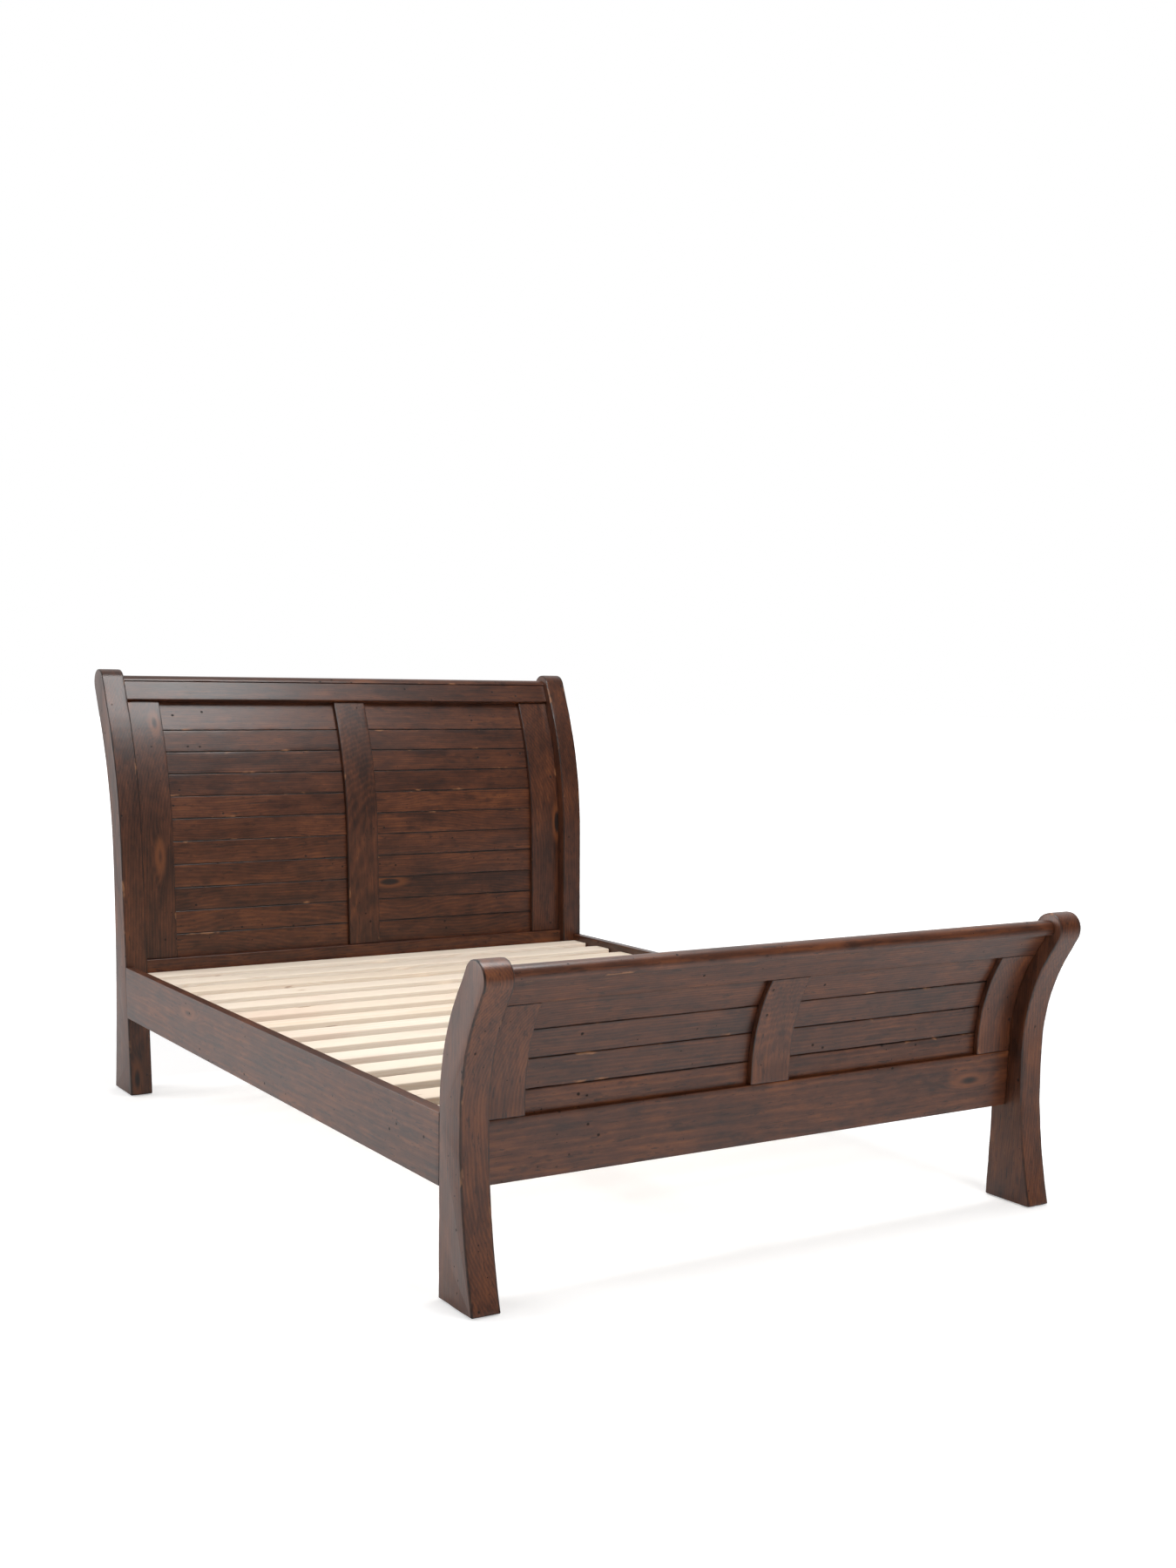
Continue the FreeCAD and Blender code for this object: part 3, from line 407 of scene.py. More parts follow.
@dataclass(frozen=True)
class SlatPine:
    """Planed pale pine with small knots."""

    name: str = "slat_pine"
    early: Colour = (0.91, 0.80, 0.675)
    late: Colour = (0.80, 0.63, 0.46)
    knot_colour: Colour = (0.34, 0.17, 0.085)
    flush: Colour = (0.80, 0.56, 0.44)
    ring_pitch: float = 0.0048
    roughness: float = 0.62
    bump: float = 0.12

    def make(self) -> bpy.types.Material:
        """Build the material.

        Returns:
            The finished material.
        """
        material, bench, shader = new_material(self.name)
        grain = bench.attribute("grain").outputs["Vector"]
        tone = Signal(bench, bench.attribute("tone").outputs["Fac"])
        near, hue = bench.cells(bench.stretch(grain, (3.2, 11.0, 11.0)), 1.0)
        rare, _, _ = bench.split(hue)
        present = rare.ramp(0.62, 0.66)
        knot = near.ramp(0.085, 0.045) * present
        wander = bench.noise(bench.stretch(grain, (1.0, 2.0, 2.0)), 1.0, 2.0, 0.5)
        ripple = bench.noise(bench.stretch(grain, (5.0, 50.0, 50.0)), 1.0, 2.0, 0.5)
        _, across, through = bench.split(grain)
        off_across = across + (wander - 0.5) * 0.10
        off_through = through + 0.05
        radius = (off_across * off_across + off_through * off_through).root()
        radius = radius + ripple * 0.005 + near.ramp(0.35, 0.02) * present * 0.014
        rings = ((radius * (2 * math.pi / self.ring_pitch)).sine() * 0.5 + 0.5) ** 2.5
        fibres = bench.noise(bench.stretch(grain, (9.0, 500.0, 500.0)), 1.0, 3.0, 0.6)
        clouds = bench.noise(bench.stretch(grain, (2.5, 8.0, 8.0)), 1.0, 2.0, 0.5)
        colour = bench.blend((rings * 0.42 + fibres * 0.22 + tone * 0.35 - 0.12).clamp(), self.early, self.late)
        colour = bench.blend(clouds.ramp(0.52, 0.75) * 0.35, colour, self.flush)
        colour = bench.blend(near.ramp(0.17, 0.07) * present * 0.35, colour, self.late)
        colour = bench.blend(knot * 0.85, colour, self.knot_colour)
        split_line = bench.noise(bench.stretch(grain, (9.0, 260.0, 260.0), (1.0, 7.0, 2.0)), 1.0, 1.0, 0.5)
        split_place = bench.noise(bench.stretch(grain, (9.0, 12.0, 12.0), (4.0, 1.0, 3.0)), 1.0, 1.0, 0.4)
        crack = split_line.ramp(0.68, 0.73) * split_place.ramp(0.62, 0.68)
        colour = bench.blend(crack * 0.75, colour, self.knot_colour)
        bench.feed(bench.free_input(shader, "Base Color"), colour)
        bench.feed(bench.free_input(shader, "Roughness"), (self.roughness + rings * 0.08 - knot * 0.2).clamp())
        height = rings * 0.25 + fibres * 0.5 - crack * 0.8
        bump = bench.node("Bump", None, {"Strength": self.bump, "Distance": 0.001, "Height": height})
        bench.feed(bench.free_input(shader, "Normal"), bump.outputs[0])
        return material


@dataclass(frozen=True)
class ZincSteel:
    """Bright zinc plate on pressed steel, clouded and lightly scuffed."""

    name: str = "zinc_steel"
    bright: Colour = (0.66, 0.67, 0.66)
    dull: Colour = (0.45, 0.45, 0.43)
    roughness: float = 0.30

    def make(self) -> bpy.types.Material:
        """Build the material."""
        material, bench, shader = new_material(self.name)
        place = bench.node("TexCoord").outputs["Object"]
        cloud = bench.noise(bench.stretch(place, (55.0, 55.0, 55.0)), 1.0, 4.0, 0.65)
        scuff = bench.noise(bench.stretch(place, (900.0, 120.0, 900.0)), 1.0, 3.0, 0.6)
        colour = bench.blend(cloud.ramp(0.35, 0.7), self.bright, self.dull)
        bench.feed(bench.free_input(shader, "Base Color"), colour)
        bench.feed(bench.free_input(shader, "Metallic"), 1.0)
        bench.feed(bench.free_input(shader, "Roughness"), (self.roughness + cloud * 0.2 + scuff * 0.08).clamp())
        bump = bench.node("Bump", None, {"Strength": 0.08, "Distance": 0.0005, "Height": scuff})
        bench.feed(bench.free_input(shader, "Normal"), bump.outputs[0])
        return material


@dataclass(frozen=True)
class Nylon:
    """Moulded black nylon with a fine spark-eroded grain."""

    name: str = "nylon"
    face: Colour = (0.018, 0.018, 0.019)
    rubbed: Colour = (0.075, 0.074, 0.072)

    def make(self) -> bpy.types.Material:
        """Build the material."""
        material, bench, shader = new_material(self.name)
        place = bench.node("TexCoord").outputs["Object"]
        grain = bench.noise(bench.stretch(place, (1500.0, 1500.0, 1500.0)), 1.0, 2.0, 0.5)
        scuff = bench.noise(bench.stretch(place, (70.0, 70.0, 70.0)), 1.0, 4.0, 0.6)
        colour = bench.blend(scuff.ramp(0.55, 0.75) * 0.5, self.face, self.rubbed)
        bench.feed(bench.free_input(shader, "Base Color"), colour)
        bench.feed(bench.free_input(shader, "Roughness"), 0.42 + scuff * 0.25)
        bump = bench.node("Bump", None, {"Strength": 0.15, "Distance": 0.0002, "Height": grain})
        bench.feed(bench.free_input(shader, "Normal"), bump.outputs[0])
        return material


@dataclass(frozen=True)
class Finishes:
    """Every material of the bed."""

    stained: bpy.types.Material
    slat: bpy.types.Material
    steel: bpy.types.Material
    nylon: bpy.types.Material

    @classmethod
    def make(cls) -> "Finishes":
        """Build all materials once."""
        return cls(StainedPine().make(), SlatPine().make(), ZincSteel().make(), Nylon().make())


# ---------------------------------------------------------------- timber meshes

@dataclass(frozen=True)
class Outline:
    """Points of a section, how far each lies from an arris, and how far it can be set in."""

    points: list[Point]
    gaps: list[float]
    limits: list[float]


@dataclass
class Section:
    """Closed outline of a piece in one plane, read from its CAD node."""

    points: list[Point]

    @classmethod
    def read(cls, node: str, axis: int, place: float) -> "Section":
        """Cut a node with a plane and keep the largest loop.

        Args:
            node: CAD node's name.
            axis: 0, 1 or 2, the axis square to the plane.
            place: Where the plane crosses that axis, in metres.

        Returns:
            The outline, anticlockwise, in the two other axes in order.
        """
        mesh = bmesh.new()
        mesh.from_mesh(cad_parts[node].data)
        bmesh.ops.remove_doubles(mesh, verts=mesh.verts, dist=1e-6)
        normal = Vector([float(index == axis) for index in range(3)])
        cut = bmesh.ops.bisect_plane(mesh, geom=mesh.verts[:] + mesh.edges[:] + mesh.faces[:], dist=1e-7,
                                     plane_co=normal * place, plane_no=normal,
                                     clear_inner=True, clear_outer=True)
        mesh.verts.index_update()
        edges = [item for item in cut["geom_cut"] if isinstance(item, bmesh.types.BMEdge)]
        keep = [index for index in range(3) if index != axis]
        loops = cls._chain(edges, keep)
        mesh.free()
        best = max(loops, key=lambda loop: abs(cls._area(loop)))
        if cls._area(best) < 0:
            best.reverse()
        far = max(range(len(best)), key=lambda index: math.dist(best[0], best[index]))
        return cls(cls._thinned(best[:far + 1]) + cls._thinned(best[far:] + best[:1]))

    @staticmethod
    def _chain(edges: list[bmesh.types.BMEdge], keep: list[int]) -> list[list[Point]]:
        """Join cut edges into loops of two-part points."""
        partners: dict[int, list[bmesh.types.BMVert]] = {}
        for edge in edges:
            first, second = edge.verts
            partners.setdefault(first.index, []).append(second)
            partners.setdefault(second.index, []).append(first)
        starts = {vert.index: vert for edge in edges for vert in edge.verts}
        loops, used = [], set()
        for index, vert in starts.items():
            if index in used:
                continue
            loop, current = [], vert
            while current is not None and current.index not in used:
                used.add(current.index)
                loop.append((current.co[keep[0]], current.co[keep[1]]))
                current = next((v for v in partners[current.index] if v.index not in used), None)
            loops.append(loop)
        return loops

    @staticmethod
    def _area(loop: list[Point]) -> float:
        """Signed area."""
        return sum(a[0] * b[1] - b[0] * a[1] for a, b in zip(loop, loop[1:] + loop[:1])) / 2

    @classmethod
    def _thinned(cls, run: list[Point], slack: float = 0.00003) -> list[Point]:
        """Points of a run, without its last, that stand off the chords between kept ones."""
        if len(run) < 3:
            return run[:-1]
        (ax, ay), (bx, by) = run[0], run[-1]
        span = max(math.dist(run[0], run[-1]), 1e-9)
        off = [abs((bx - ax) * (ay - y) - (ax - x) * (by - ay)) / span for x, y in run[1:-1]]
        worst = off.index(max(off)) + 1
        if off[worst - 1] <= slack:
            return run[:1]
        return cls._thinned(run[:worst + 1], slack) + cls._thinned(run[worst:], slack)

    def corners(self, sharp: float = 30.0) -> list[bool]:
        """Whether each point is a corner that turns by more than an angle."""
        marks = []
        for index, point in enumerate(self.points):
            before = self.points[index - 1]
            after = self.points[(index + 1) % len(self.points)]
            a = math.atan2(point[1] - before[1], point[0] - before[0])
            b = math.atan2(after[1] - point[1], after[0] - point[0])
            turn = abs((b - a + math.pi) % (2 * math.pi) - math.pi)
            marks.append(math.degrees(turn) > sharp)
        return marks

    def rounded(self, radius: float) -> tuple[list[Point], list[float]]:
        """Outline with its sharp corners turned into small arcs.

        Args:
            radius: Reach of an arc from its corner.

        Returns:
            Points, and the reach of the arc each lies inside, or nought.
        """
        marks = self.corners()
        points: list[Point] = []
        arcs: list[float] = []
        for index, point in enumerate(self.points):
            before = self.points[index - 1]
            after = self.points[(index + 1) % len(self.points)]
            reach = min(radius, math.dist(point, before) * 0.4, math.dist(point, after) * 0.4)
            if not marks[index]:
                points.append(point)
                arcs.append(0.0)
                continue
            start, stop = toward(point, before, reach), toward(point, after, reach)
            for share in (0.0, 0.25, 0.5, 0.75, 1.0):
                weights = ((1 - share) ** 2, 2 * share * (1 - share), share ** 2)
                points.append(tuple(sum(w * p[part] for w, p in zip(weights, (start, point, stop)))
                                    for part in (0, 1)))
                arcs.append(reach if 0.0 < share < 1.0 else 0.0)
        return points, arcs

    def refined(self, step: float, radius: float) -> "Outline":
        """Outline with long stretches divided.

        Args:
            step: Longest stretch wanted.
            radius: Reach of the arcs at the corners.

        Returns:
            The refined outline with what the mesh needs at each point.
        """
        base, arcs = self.rounded(radius)
        points: list[Point] = []
        limits: list[float] = []
        for index, point in enumerate(base):
            after = base[(index + 1) % len(base)]
            span = math.dist(point, after)
            for share in self.shares(span, step, not arcs[index] and arcs[index - 1] > 0,
                                     not arcs[(index + 1) % len(base)] and arcs[(index + 2) % len(base)] > 0):
                points.append((point[0] + (after[0] - point[0]) * share, point[1] + (after[1] - point[1]) * share))
                limits.append(arcs[index] if share == 0.0 else 0.0)
        gaps = self.to_corner(points, [limit > 0 for limit in limits])
        return Outline(points, gaps, [limit * 0.5 or 1.0 for limit in limits])

    @staticmethod
    def shares(span: float, step: float, sharp_start: bool, sharp_end: bool) -> list[float]:
        """Places along one stretch, with a close one beside each sharp corner."""
        count = max(1, math.ceil(span / step))
        shares = [index / count for index in range(count)]
        beside = 0.0025
        if sharp_start and span > 4 * beside:
            shares.append(beside / span)
        if sharp_end and span > 4 * beside:
            shares.append(1 - beside / span)
        return sorted(set(shares))

    @staticmethod
    def to_corner(points: list[Point], corner: list[bool]) -> list[float]:
        """Distance along the outline to the nearest corner."""
        far = 1.0
        count = len(points)
        distance = [0.0 if mark else far for mark in corner]
        for direction in (1, -1):
            order = range(count * 2) if direction == 1 else range(count * 2 - 1, -1, -1)
            for index in order:
                here, before = index % count, (index - direction) % count
                gap = math.dist(points[here], points[before])
                distance[here] = min(distance[here], distance[before] + gap)
        return distance


def toward(start: Point, goal: Point, reach: float) -> Point:
    """The point a given way from one point to another."""
    share = reach / max(math.dist(start, goal), 1e-9)
    return (start[0] + (goal[0] - start[0]) * share, start[1] + (goal[1] - start[1]) * share)


@dataclass
class Timber:
    """One wooden piece, drawn out along an axis from its CAD section, with rounded worn arrises."""

    node: str
    axis: int
    grain: Grain
    section_at: float
    ease: float = 0.003
    step: float = 0.010
    wear: float = 0.0010
    lengthwise: float | None = None
    tone: float = 0.5
    shift: Sequence[float] = (0.0, 0.0, 0.0)
    ends: tuple[float, float] | None = None
    corner: float = 0.0015

    def build(self, material: bpy.types.Material) -> bpy.types.Object:
        """Make the mesh, dress it and let it stand for its CAD node.

        Args:
            material: Finish of the whole piece.

        Returns:
            The finished piece.
        """
        section = Section.read(self.node, self.axis, self.section_at)
        outline = section.refined(self.step, max(self.corner, self.ease * 1.3))
        low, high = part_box(self.node)
        start, stop = self.ends or (low[self.axis], high[self.axis])
        rings = self.ring_stack(start, stop)
        vertices, edges = self.vertices(outline, rings)
        count = len(outline.points)
        faces = []
        for ring in range(len(rings) - 1):
            for index in range(count):
                after = (index + 1) % count
                faces.append((ring * count + index, ring * count + after,
                              (ring + 1) * count + after, (ring + 1) * count + index))
        faces.append(tuple(reversed(range(count))))
        faces.append(tuple((len(rings) - 1) * count + index for index in range(count)))
        name = self.node + "_timber"
        mesh = bpy.data.meshes.new(name)
        mesh.from_pydata(vertices, [], faces)
        self.face_outward(mesh)
        dress_mesh(mesh, edges, self.grain, self.tone, self.shift)
        return finish_piece(mesh, material, (self.node,))

    def ring_stack(self, start: float, stop: float) -> list[tuple[float, float, float]]:
        """Places along the axis, with each ring's inset and its distance to the arris.

        Args:
            start: First end.
            stop: Last end.

        Returns:
            (place, inset, distance to the arris) from first end to last.
        """
        lead = []
        turns = 4
        for index in range(turns + 1):
            angle = math.pi / 2 * index / turns
            lead.append((self.ease * (1 - math.cos(angle)), self.ease * (1 - math.sin(angle)),
                         0.0 if index else 0.004))
        lead.append((self.ease * 1.6, 0.0, self.ease * 0.6))
        lead.append((0.008, 0.0, 0.008 - self.ease))
        lead.append((0.016, 0.0, 0.016 - self.ease))
        span = stop - start
        middle = []
        step = self.lengthwise or self.step * 1.4
        inner = lead[-1][0]
        count = max(1, round((span - 2 * inner) / step))
        for index in range(1, count):
            place = inner + (span - 2 * inner) * index / count
            middle.append((place, 0.0, min(place, span - place)))
        stack = [(start + place, inset, gap) for place, inset, gap in lead]
        stack += [(start + place, inset, gap) for place, inset, gap in middle]
        stack += [(stop - place, inset, gap) for place, inset, gap in reversed(lead)]
        return stack

    def vertices(self, outline: Outline, rings: list[tuple[float, float, float]]
                 ) -> tuple[list[tuple], list[float]]:
        """Every ring's points, worn back at the arrises.

        Args:
            outline: The section.
            rings: Places, insets and arris distances.

        Returns:
            Vertex positions and their distance to the nearest arris.
        """
        normals = outline_normals(outline.points)
        keep = [index for index in range(3) if index != self.axis]
        seed = Vector((len(self.node) * 3.7, sum(map(ord, self.node)) % 97, 1.3))
        positions, edges = [], []
        for place, inset, gap in rings:
            for point, normal, corner, limit in zip(outline.points, normals, outline.gaps, outline.limits):
                spot = [0.0, 0.0, 0.0]
                spot[self.axis] = place
                spot[keep[0]] = point[0] - normal[0] * min(inset, limit)
                spot[keep[1]] = point[1] - normal[1] * min(inset, limit)
                nearest = min(abs(gap), corner if inset == 0.0 else 1.0)
                if self.wear and nearest < 0.006:
                    dent = self.dent(Vector(spot), seed) * (1 - nearest / 0.006)
                    spot[keep[0]] -= normal[0] * dent
                    spot[keep[1]] -= normal[1] * dent
                positions.append(tuple(spot))
                edges.append(nearest)
        return positions, edges

    def dent(self, spot: Vector, seed: Vector) -> float:
        """How far the arris is knocked back at a point."""
        slow = noise.noise(spot * 16.0 + seed)
        quick = noise.noise(spot * 70.0 + seed)
        knock = max(slow + 0.15, 0.0) * 0.9 + max(quick, 0.0) * 0.5
        return knock * self.wear

    @staticmethod
    def face_outward(mesh: bpy.types.Mesh) -> None:
        """Turn all faces outward."""
        work = bmesh.new()
        work.from_mesh(mesh)
        bmesh.ops.recalc_face_normals(work, faces=work.faces)
        work.to_mesh(mesh)
        work.free()


def outline_normals(outline: list[Point]) -> list[Point]:
    """Outward direction at each point of an anticlockwise outline."""
    normals = []
    for index, point in enumerate(outline):
        before, after = outline[index - 1], outline[(index + 1) % len(outline)]
        first = (point[1] - before[1], before[0] - point[0])
        second = (after[1] - point[1], point[0] - after[0])
        total = [0.0, 0.0]
        for side in (first, second):
            length = math.hypot(*side) or 1.0
            total[0] += side[0] / length
            total[1] += side[1] / length
        length = math.hypot(*total) or 1.0
        scale = 2.0 / max(length * length, 0.8)
        normals.append((total[0] * scale, total[1] * scale))
    return normals


def dress_mesh(mesh: bpy.types.Mesh, edges: Sequence[float], grain: Grain, tone: float,
               shift: Sequence[float]) -> None:
    """Give a mesh the attributes that the wood finishes read, and its smoothing.

    Args:
        mesh: The mesh.
        edges: Each vertex's distance to the nearest arris.
        grain: Which way the fibres run.
        tone: How light the piece is, nought to one.
        shift: Where in the log the piece was cut.
    """
    count = len(mesh.vertices)
    place = np.empty(count * 3, np.float32)
    mesh.vertices.foreach_get("co", place)
    place = place.reshape(-1, 3)
    order = {Grain.ACROSS_BED: (0, 2, 1), Grain.ALONG_BED: (1, 2, 0), Grain.UPRIGHT: (2, 0, 1)}[grain]
    fibres = place[:, order] + np.array(shift, np.float32)
    mesh.attributes.new("grain", "FLOAT_VECTOR", "POINT").data.foreach_set("vector", fibres.ravel())
    corners = np.empty(len(mesh.loops), np.int32)
    mesh.loops.foreach_get("vertex_index", corners)
    gaps = np.array(edges, np.float32)[corners]
    for face in mesh.polygons:
        if face.loop_total > 4:
            gaps[face.loop_start:face.loop_start + face.loop_total] = 0.02
    mesh.attributes.new("edge", "FLOAT", "CORNER").data.foreach_set("value", gaps)
    mesh.attributes.new("tone", "FLOAT", "POINT").data.foreach_set("value", np.full(count, tone, np.float32))
    mesh.shade_smooth()
    sharpen(mesh)


def sharpen(mesh: bpy.types.Mesh, angle: float = 32.0) -> None:
    """Mark edges that turn by more than an angle as sharp."""
    work = bmesh.new()
    work.from_mesh(mesh)
    for edge in work.edges:
        if len(edge.link_faces) == 2:
            edge.smooth = edge.calc_face_angle(0.0) < math.radians(angle)
    work.to_mesh(mesh)
    work.free()


def finish_piece(mesh: bpy.types.Mesh, material: bpy.types.Material, nodes: Iterable[str],
                 body: str = "bed_frame") -> bpy.types.Object:
    """Put a mesh in the scene as a piece that stands for CAD nodes.

    Args:
        mesh: The finished mesh, placed in the bed's frame.
        material: Its finish.
        nodes: CAD nodes it stands for.
        body: CAD body it rides on.

    Returns:
        The piece.
    """
    piece = bpy.data.objects.new(mesh.name, mesh)
    bpy.context.scene.collection.objects.link(piece)
    mesh.materials.clear()
    mesh.materials.append(material)
    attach(piece, body)
    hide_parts(*nodes)
    LOG.info("made %s with %d faces", piece.name, len(mesh.polygons))
    return piece


# ---------------------------------------------------------------- small helpers on CAD meshes

def islands(node: str) -> list[np.ndarray]:
    """Vertex positions of each separate solid in a CAD node.

    Args:
        node: CAD node's name.

    Returns:
        One array of points for each solid.
    """
    work = bmesh.new()
    work.from_mesh(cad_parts[node].data)
    bmesh.ops.remove_doubles(work, verts=work.verts, dist=1e-6)
    work.verts.index_update()
    seen: set[int] = set()
    groups = []
    for start in work.verts:
        if start.index in seen:
            continue
        seen.add(start.index)
        stack, group = [start], []
        while stack:
            vert = stack.pop()
            group.append(tuple(vert.co))
            for edge in vert.link_edges:
                other = edge.other_vert(vert)
                if other.index not in seen:
                    seen.add(other.index)
                    stack.append(other)
        groups.append(np.array(group))
    work.free()
    return groups


@dataclass(frozen=True)
class Seat:
    """Where a fastener's head lies and which way it points in."""

    head: Vector
    way: Vector


def seats(node: str) -> list[Seat]:
    """Heads and directions of the turned fasteners in a CAD node.

    Args:
        node: CAD node's name.

    Returns:
        One seat for each solid, its head at the wider end.
    """
    found = []
    for points in islands(node):
        centre = points.mean(0)
        spread = np.linalg.svd(points - centre, full_matrices=False)[2]
        axis = max(spread, key=lambda row: float(np.ptp((points - centre) @ row)))
        along = (points - centre) @ axis
        middle = (along.max() + along.min()) / 2
        radius = np.linalg.norm(points - centre - np.outer(along, axis), axis=1)
        if radius[along > middle].max() > radius[along < middle].max():
            axis, along = -axis, -along
        head = centre + axis * along.min()
        found.append(Seat(Vector(head), Vector(axis).normalized()))
    return found


def dressed_copy(node: str, grain: Grain, material: bpy.types.Material, tone: float,
                 shift: Sequence[float]) -> bpy.types.Object:
    """Copy of a CAD node that carries the wood attributes, for pieces with holes bored in them.

    Args:
        node: CAD node's name.
        grain: Which way the fibres run.
        material: Its finish.
        tone: How light the piece is.
        shift: Where in the log it was cut.

    Returns:
        The piece.
    """
    work = bmesh.new()
    work.from_mesh(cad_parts[node].data)
    bmesh.ops.remove_doubles(work, verts=work.verts, dist=1e-6)
    mesh = bpy.data.meshes.new(node + "_timber")
    work.to_mesh(mesh)
    work.free()
    dress_mesh(mesh, [0.02] * len(mesh.vertices), grain, tone, shift)
    return finish_piece(mesh, material, (node,))


def lathe(profile: Sequence[Point], segments: int, closed_ends: bool = True) -> bmesh.types.BMesh:
    """Turn a (radius, height) profile about +Z.

    Args:
        profile: Points from the bottom up.
        segments: Faces round the axis.
        closed_ends: Whether to fill the first and last rings.

    Returns:
        The new mesh, to be freed by the caller.
    """
    work = bmesh.new()
    rings = []
    for radius, height in profile:
        turns = [2 * math.pi * index / segments for index in range(segments)]
        rings.append([work.verts.new((radius * math.cos(t), radius * math.sin(t), height)) for t in turns])
    for lower, upper in zip(rings, rings[1:]):
        for index in range(segments):
            after = (index + 1) % segments
            work.faces.new((lower[index], lower[after], upper[after], upper[index]))
    if closed_ends:
        work.faces.new(list(reversed(rings[0])))
        work.faces.new(rings[-1])
    return work


def mesh_from(work: bmesh.types.BMesh, name: str) -> bpy.types.Mesh:
    """Turn a working mesh into a named one with outward, angle-smoothed faces."""
    bmesh.ops.recalc_face_normals(work, faces=work.faces)
    mesh = bpy.data.meshes.new(name)
    work.to_mesh(mesh)
    work.free()
    mesh.shade_smooth()
    sharpen(mesh)
    return mesh


# ---------------------------------------------------------------- geometry-node groups

@dataclass(frozen=True)
class Knob:
    """One named input of a geometry-node group."""

    name: str
    kind: str
    value: Any


class Pattern:
    """Geometry-node group with named inputs, baked to a plain mesh."""

    def __init__(self, name: str, knobs: Sequence[Knob]) -> None:
        """Open an empty group with a geometry output and the named inputs."""
        self.group = bpy.data.node_groups.new(name, "GeometryNodeTree")
        self.group.interface.new_socket("Geometry", in_out="INPUT", socket_type="NodeSocketGeometry")
        self.group.interface.new_socket("Geometry", in_out="OUTPUT", socket_type="NodeSocketGeometry")
        self.knobs = list(knobs)
        for knob in knobs:
            self.group.interface.new_socket(knob.name, in_out="INPUT", socket_type="NodeSocket" + knob.kind)
        self.bench = Bench(self.group)
        self.entry = self.group.nodes.new("NodeGroupInput")
        self.exit = self.group.nodes.new("NodeGroupOutput")

    def knob(self, name: str) -> Signal:
        """The named input."""
        return Signal(self.bench, self.entry.outputs[name])

    def close(self, geometry: Any) -> None:
        """End the group in real geometry with its material set."""
        real = self.bench.node("RealizeInstances", None, {0: geometry})
        dressed = self.bench.node("SetMaterial", None, {0: real.outputs[0], "Material": self.knob("Finish")})
        self.group.links.new(dressed.outputs[0], self.exit.inputs[0])

    def bake(self, name: str, source: bpy.types.Mesh, after: Callable[[bpy.types.Object], None] | None = None
             ) -> bpy.types.Mesh:
        """Run the group on a mesh and keep the result.

        Args:
            name: Name of the new mesh.
            source: Mesh that carries the group.
            after: Adds further modifiers behind the group.

        Returns:
            The plain mesh.
        """
        carrier = bpy.data.objects.new(name + "_carrier", source)
        bpy.context.scene.collection.objects.link(carrier)
        modifier = carrier.modifiers.new("pattern", "NODES")
        modifier.node_group = self.group
        items = {item.name: item.identifier for item in self.group.interface.items_tree
                 if item.item_type == "SOCKET" and item.in_out == "INPUT"}
        for knob in self.knobs:
            modifier[items[knob.name]] = knob.value
        if after:
            after(carrier)
        bpy.context.view_layer.update()
        graph = bpy.context.evaluated_depsgraph_get()
        mesh = bpy.data.meshes.new_from_object(carrier.evaluated_get(graph), depsgraph=graph)
        mesh.name = name
        carrier.modifiers.clear()
        bpy.data.objects.remove(carrier)
        return mesh


def point_cloud(places: Sequence[Seat]) -> bpy.types.Mesh:
    """Loose points with the direction each fastener goes in.

    Args:
        places: Seats of the fasteners.

    Returns:
        Mesh of points with a "way" attribute.
    """
    mesh = bpy.data.meshes.new("seats")
    mesh.from_pydata([tuple(seat.head) for seat in places], [], [])
    way = mesh.attributes.new("way", "FLOAT_VECTOR", "POINT")
    way.data.foreach_set("vector", [part for seat in places for part in seat.way])
    return mesh


def set_out(template: bpy.types.Mesh, places: Sequence[Seat], material: bpy.types.Material, name: str,
            seed: int) -> bpy.types.Mesh:
    """Repeat one fastener at every seat, each turned by a random angle.

    Args:
        template: Fastener whose head lies at the origin and which points along +Z.
        places: Where they go.
        material: Their finish.
        name: Name of the new mesh.
        seed: Picks the turns.

    Returns:
        One mesh that holds them all.
    """
    pattern_object = bpy.data.objects.new(name + "_template", template)
    bpy.context.scene.collection.objects.link(pattern_object)
    pattern = Pattern(name + "_pattern", [Knob("Fastener", "Object", pattern_object), Knob("Seed", "Int", seed),
                                          Knob("Finish", "Material", material)])
    bench = pattern.bench
    way = bench.node("InputNamedAttribute", {"data_type": "FLOAT_VECTOR"}, {"Name": "way"})
    aim = bench.node("AlignRotationToVector", {"axis": "Z"}, {"Vector": way.outputs[0]})
    spin = bench.node("RandomValue", {"data_type": "FLOAT"},
                      {"Min": 0.0, "Max": 2 * math.pi, "Seed": pattern.knob("Seed")})
    spin_out = next(s for s in spin.outputs if s.enabled)
    local = bench.node("AxisAngleToRotation", None, {"Axis": (0.0, 0.0, 1.0), "Angle": spin_out})
    turned = bench.node("RotateRotation", {"rotation_space": "LOCAL"},
                        {"Rotation": aim.outputs[0], "Rotate By": local.outputs[0]})
    thing = bench.node("ObjectInfo", {"transform_space": "ORIGINAL"}, {"Object": pattern.knob("Fastener")})
    spread = bench.node("InstanceOnPoints", None,
                        {"Points": pattern.entry.outputs["Geometry"], "Instance": thing.outputs["Geometry"],
                         "Rotation": turned.outputs[0]})
    pattern.close(spread.outputs[0])
    mesh = pattern.bake(name, point_cloud(places))
    bpy.data.objects.remove(pattern_object)
    return mesh


# ---------------------------------------------------------------- sub-assemblies

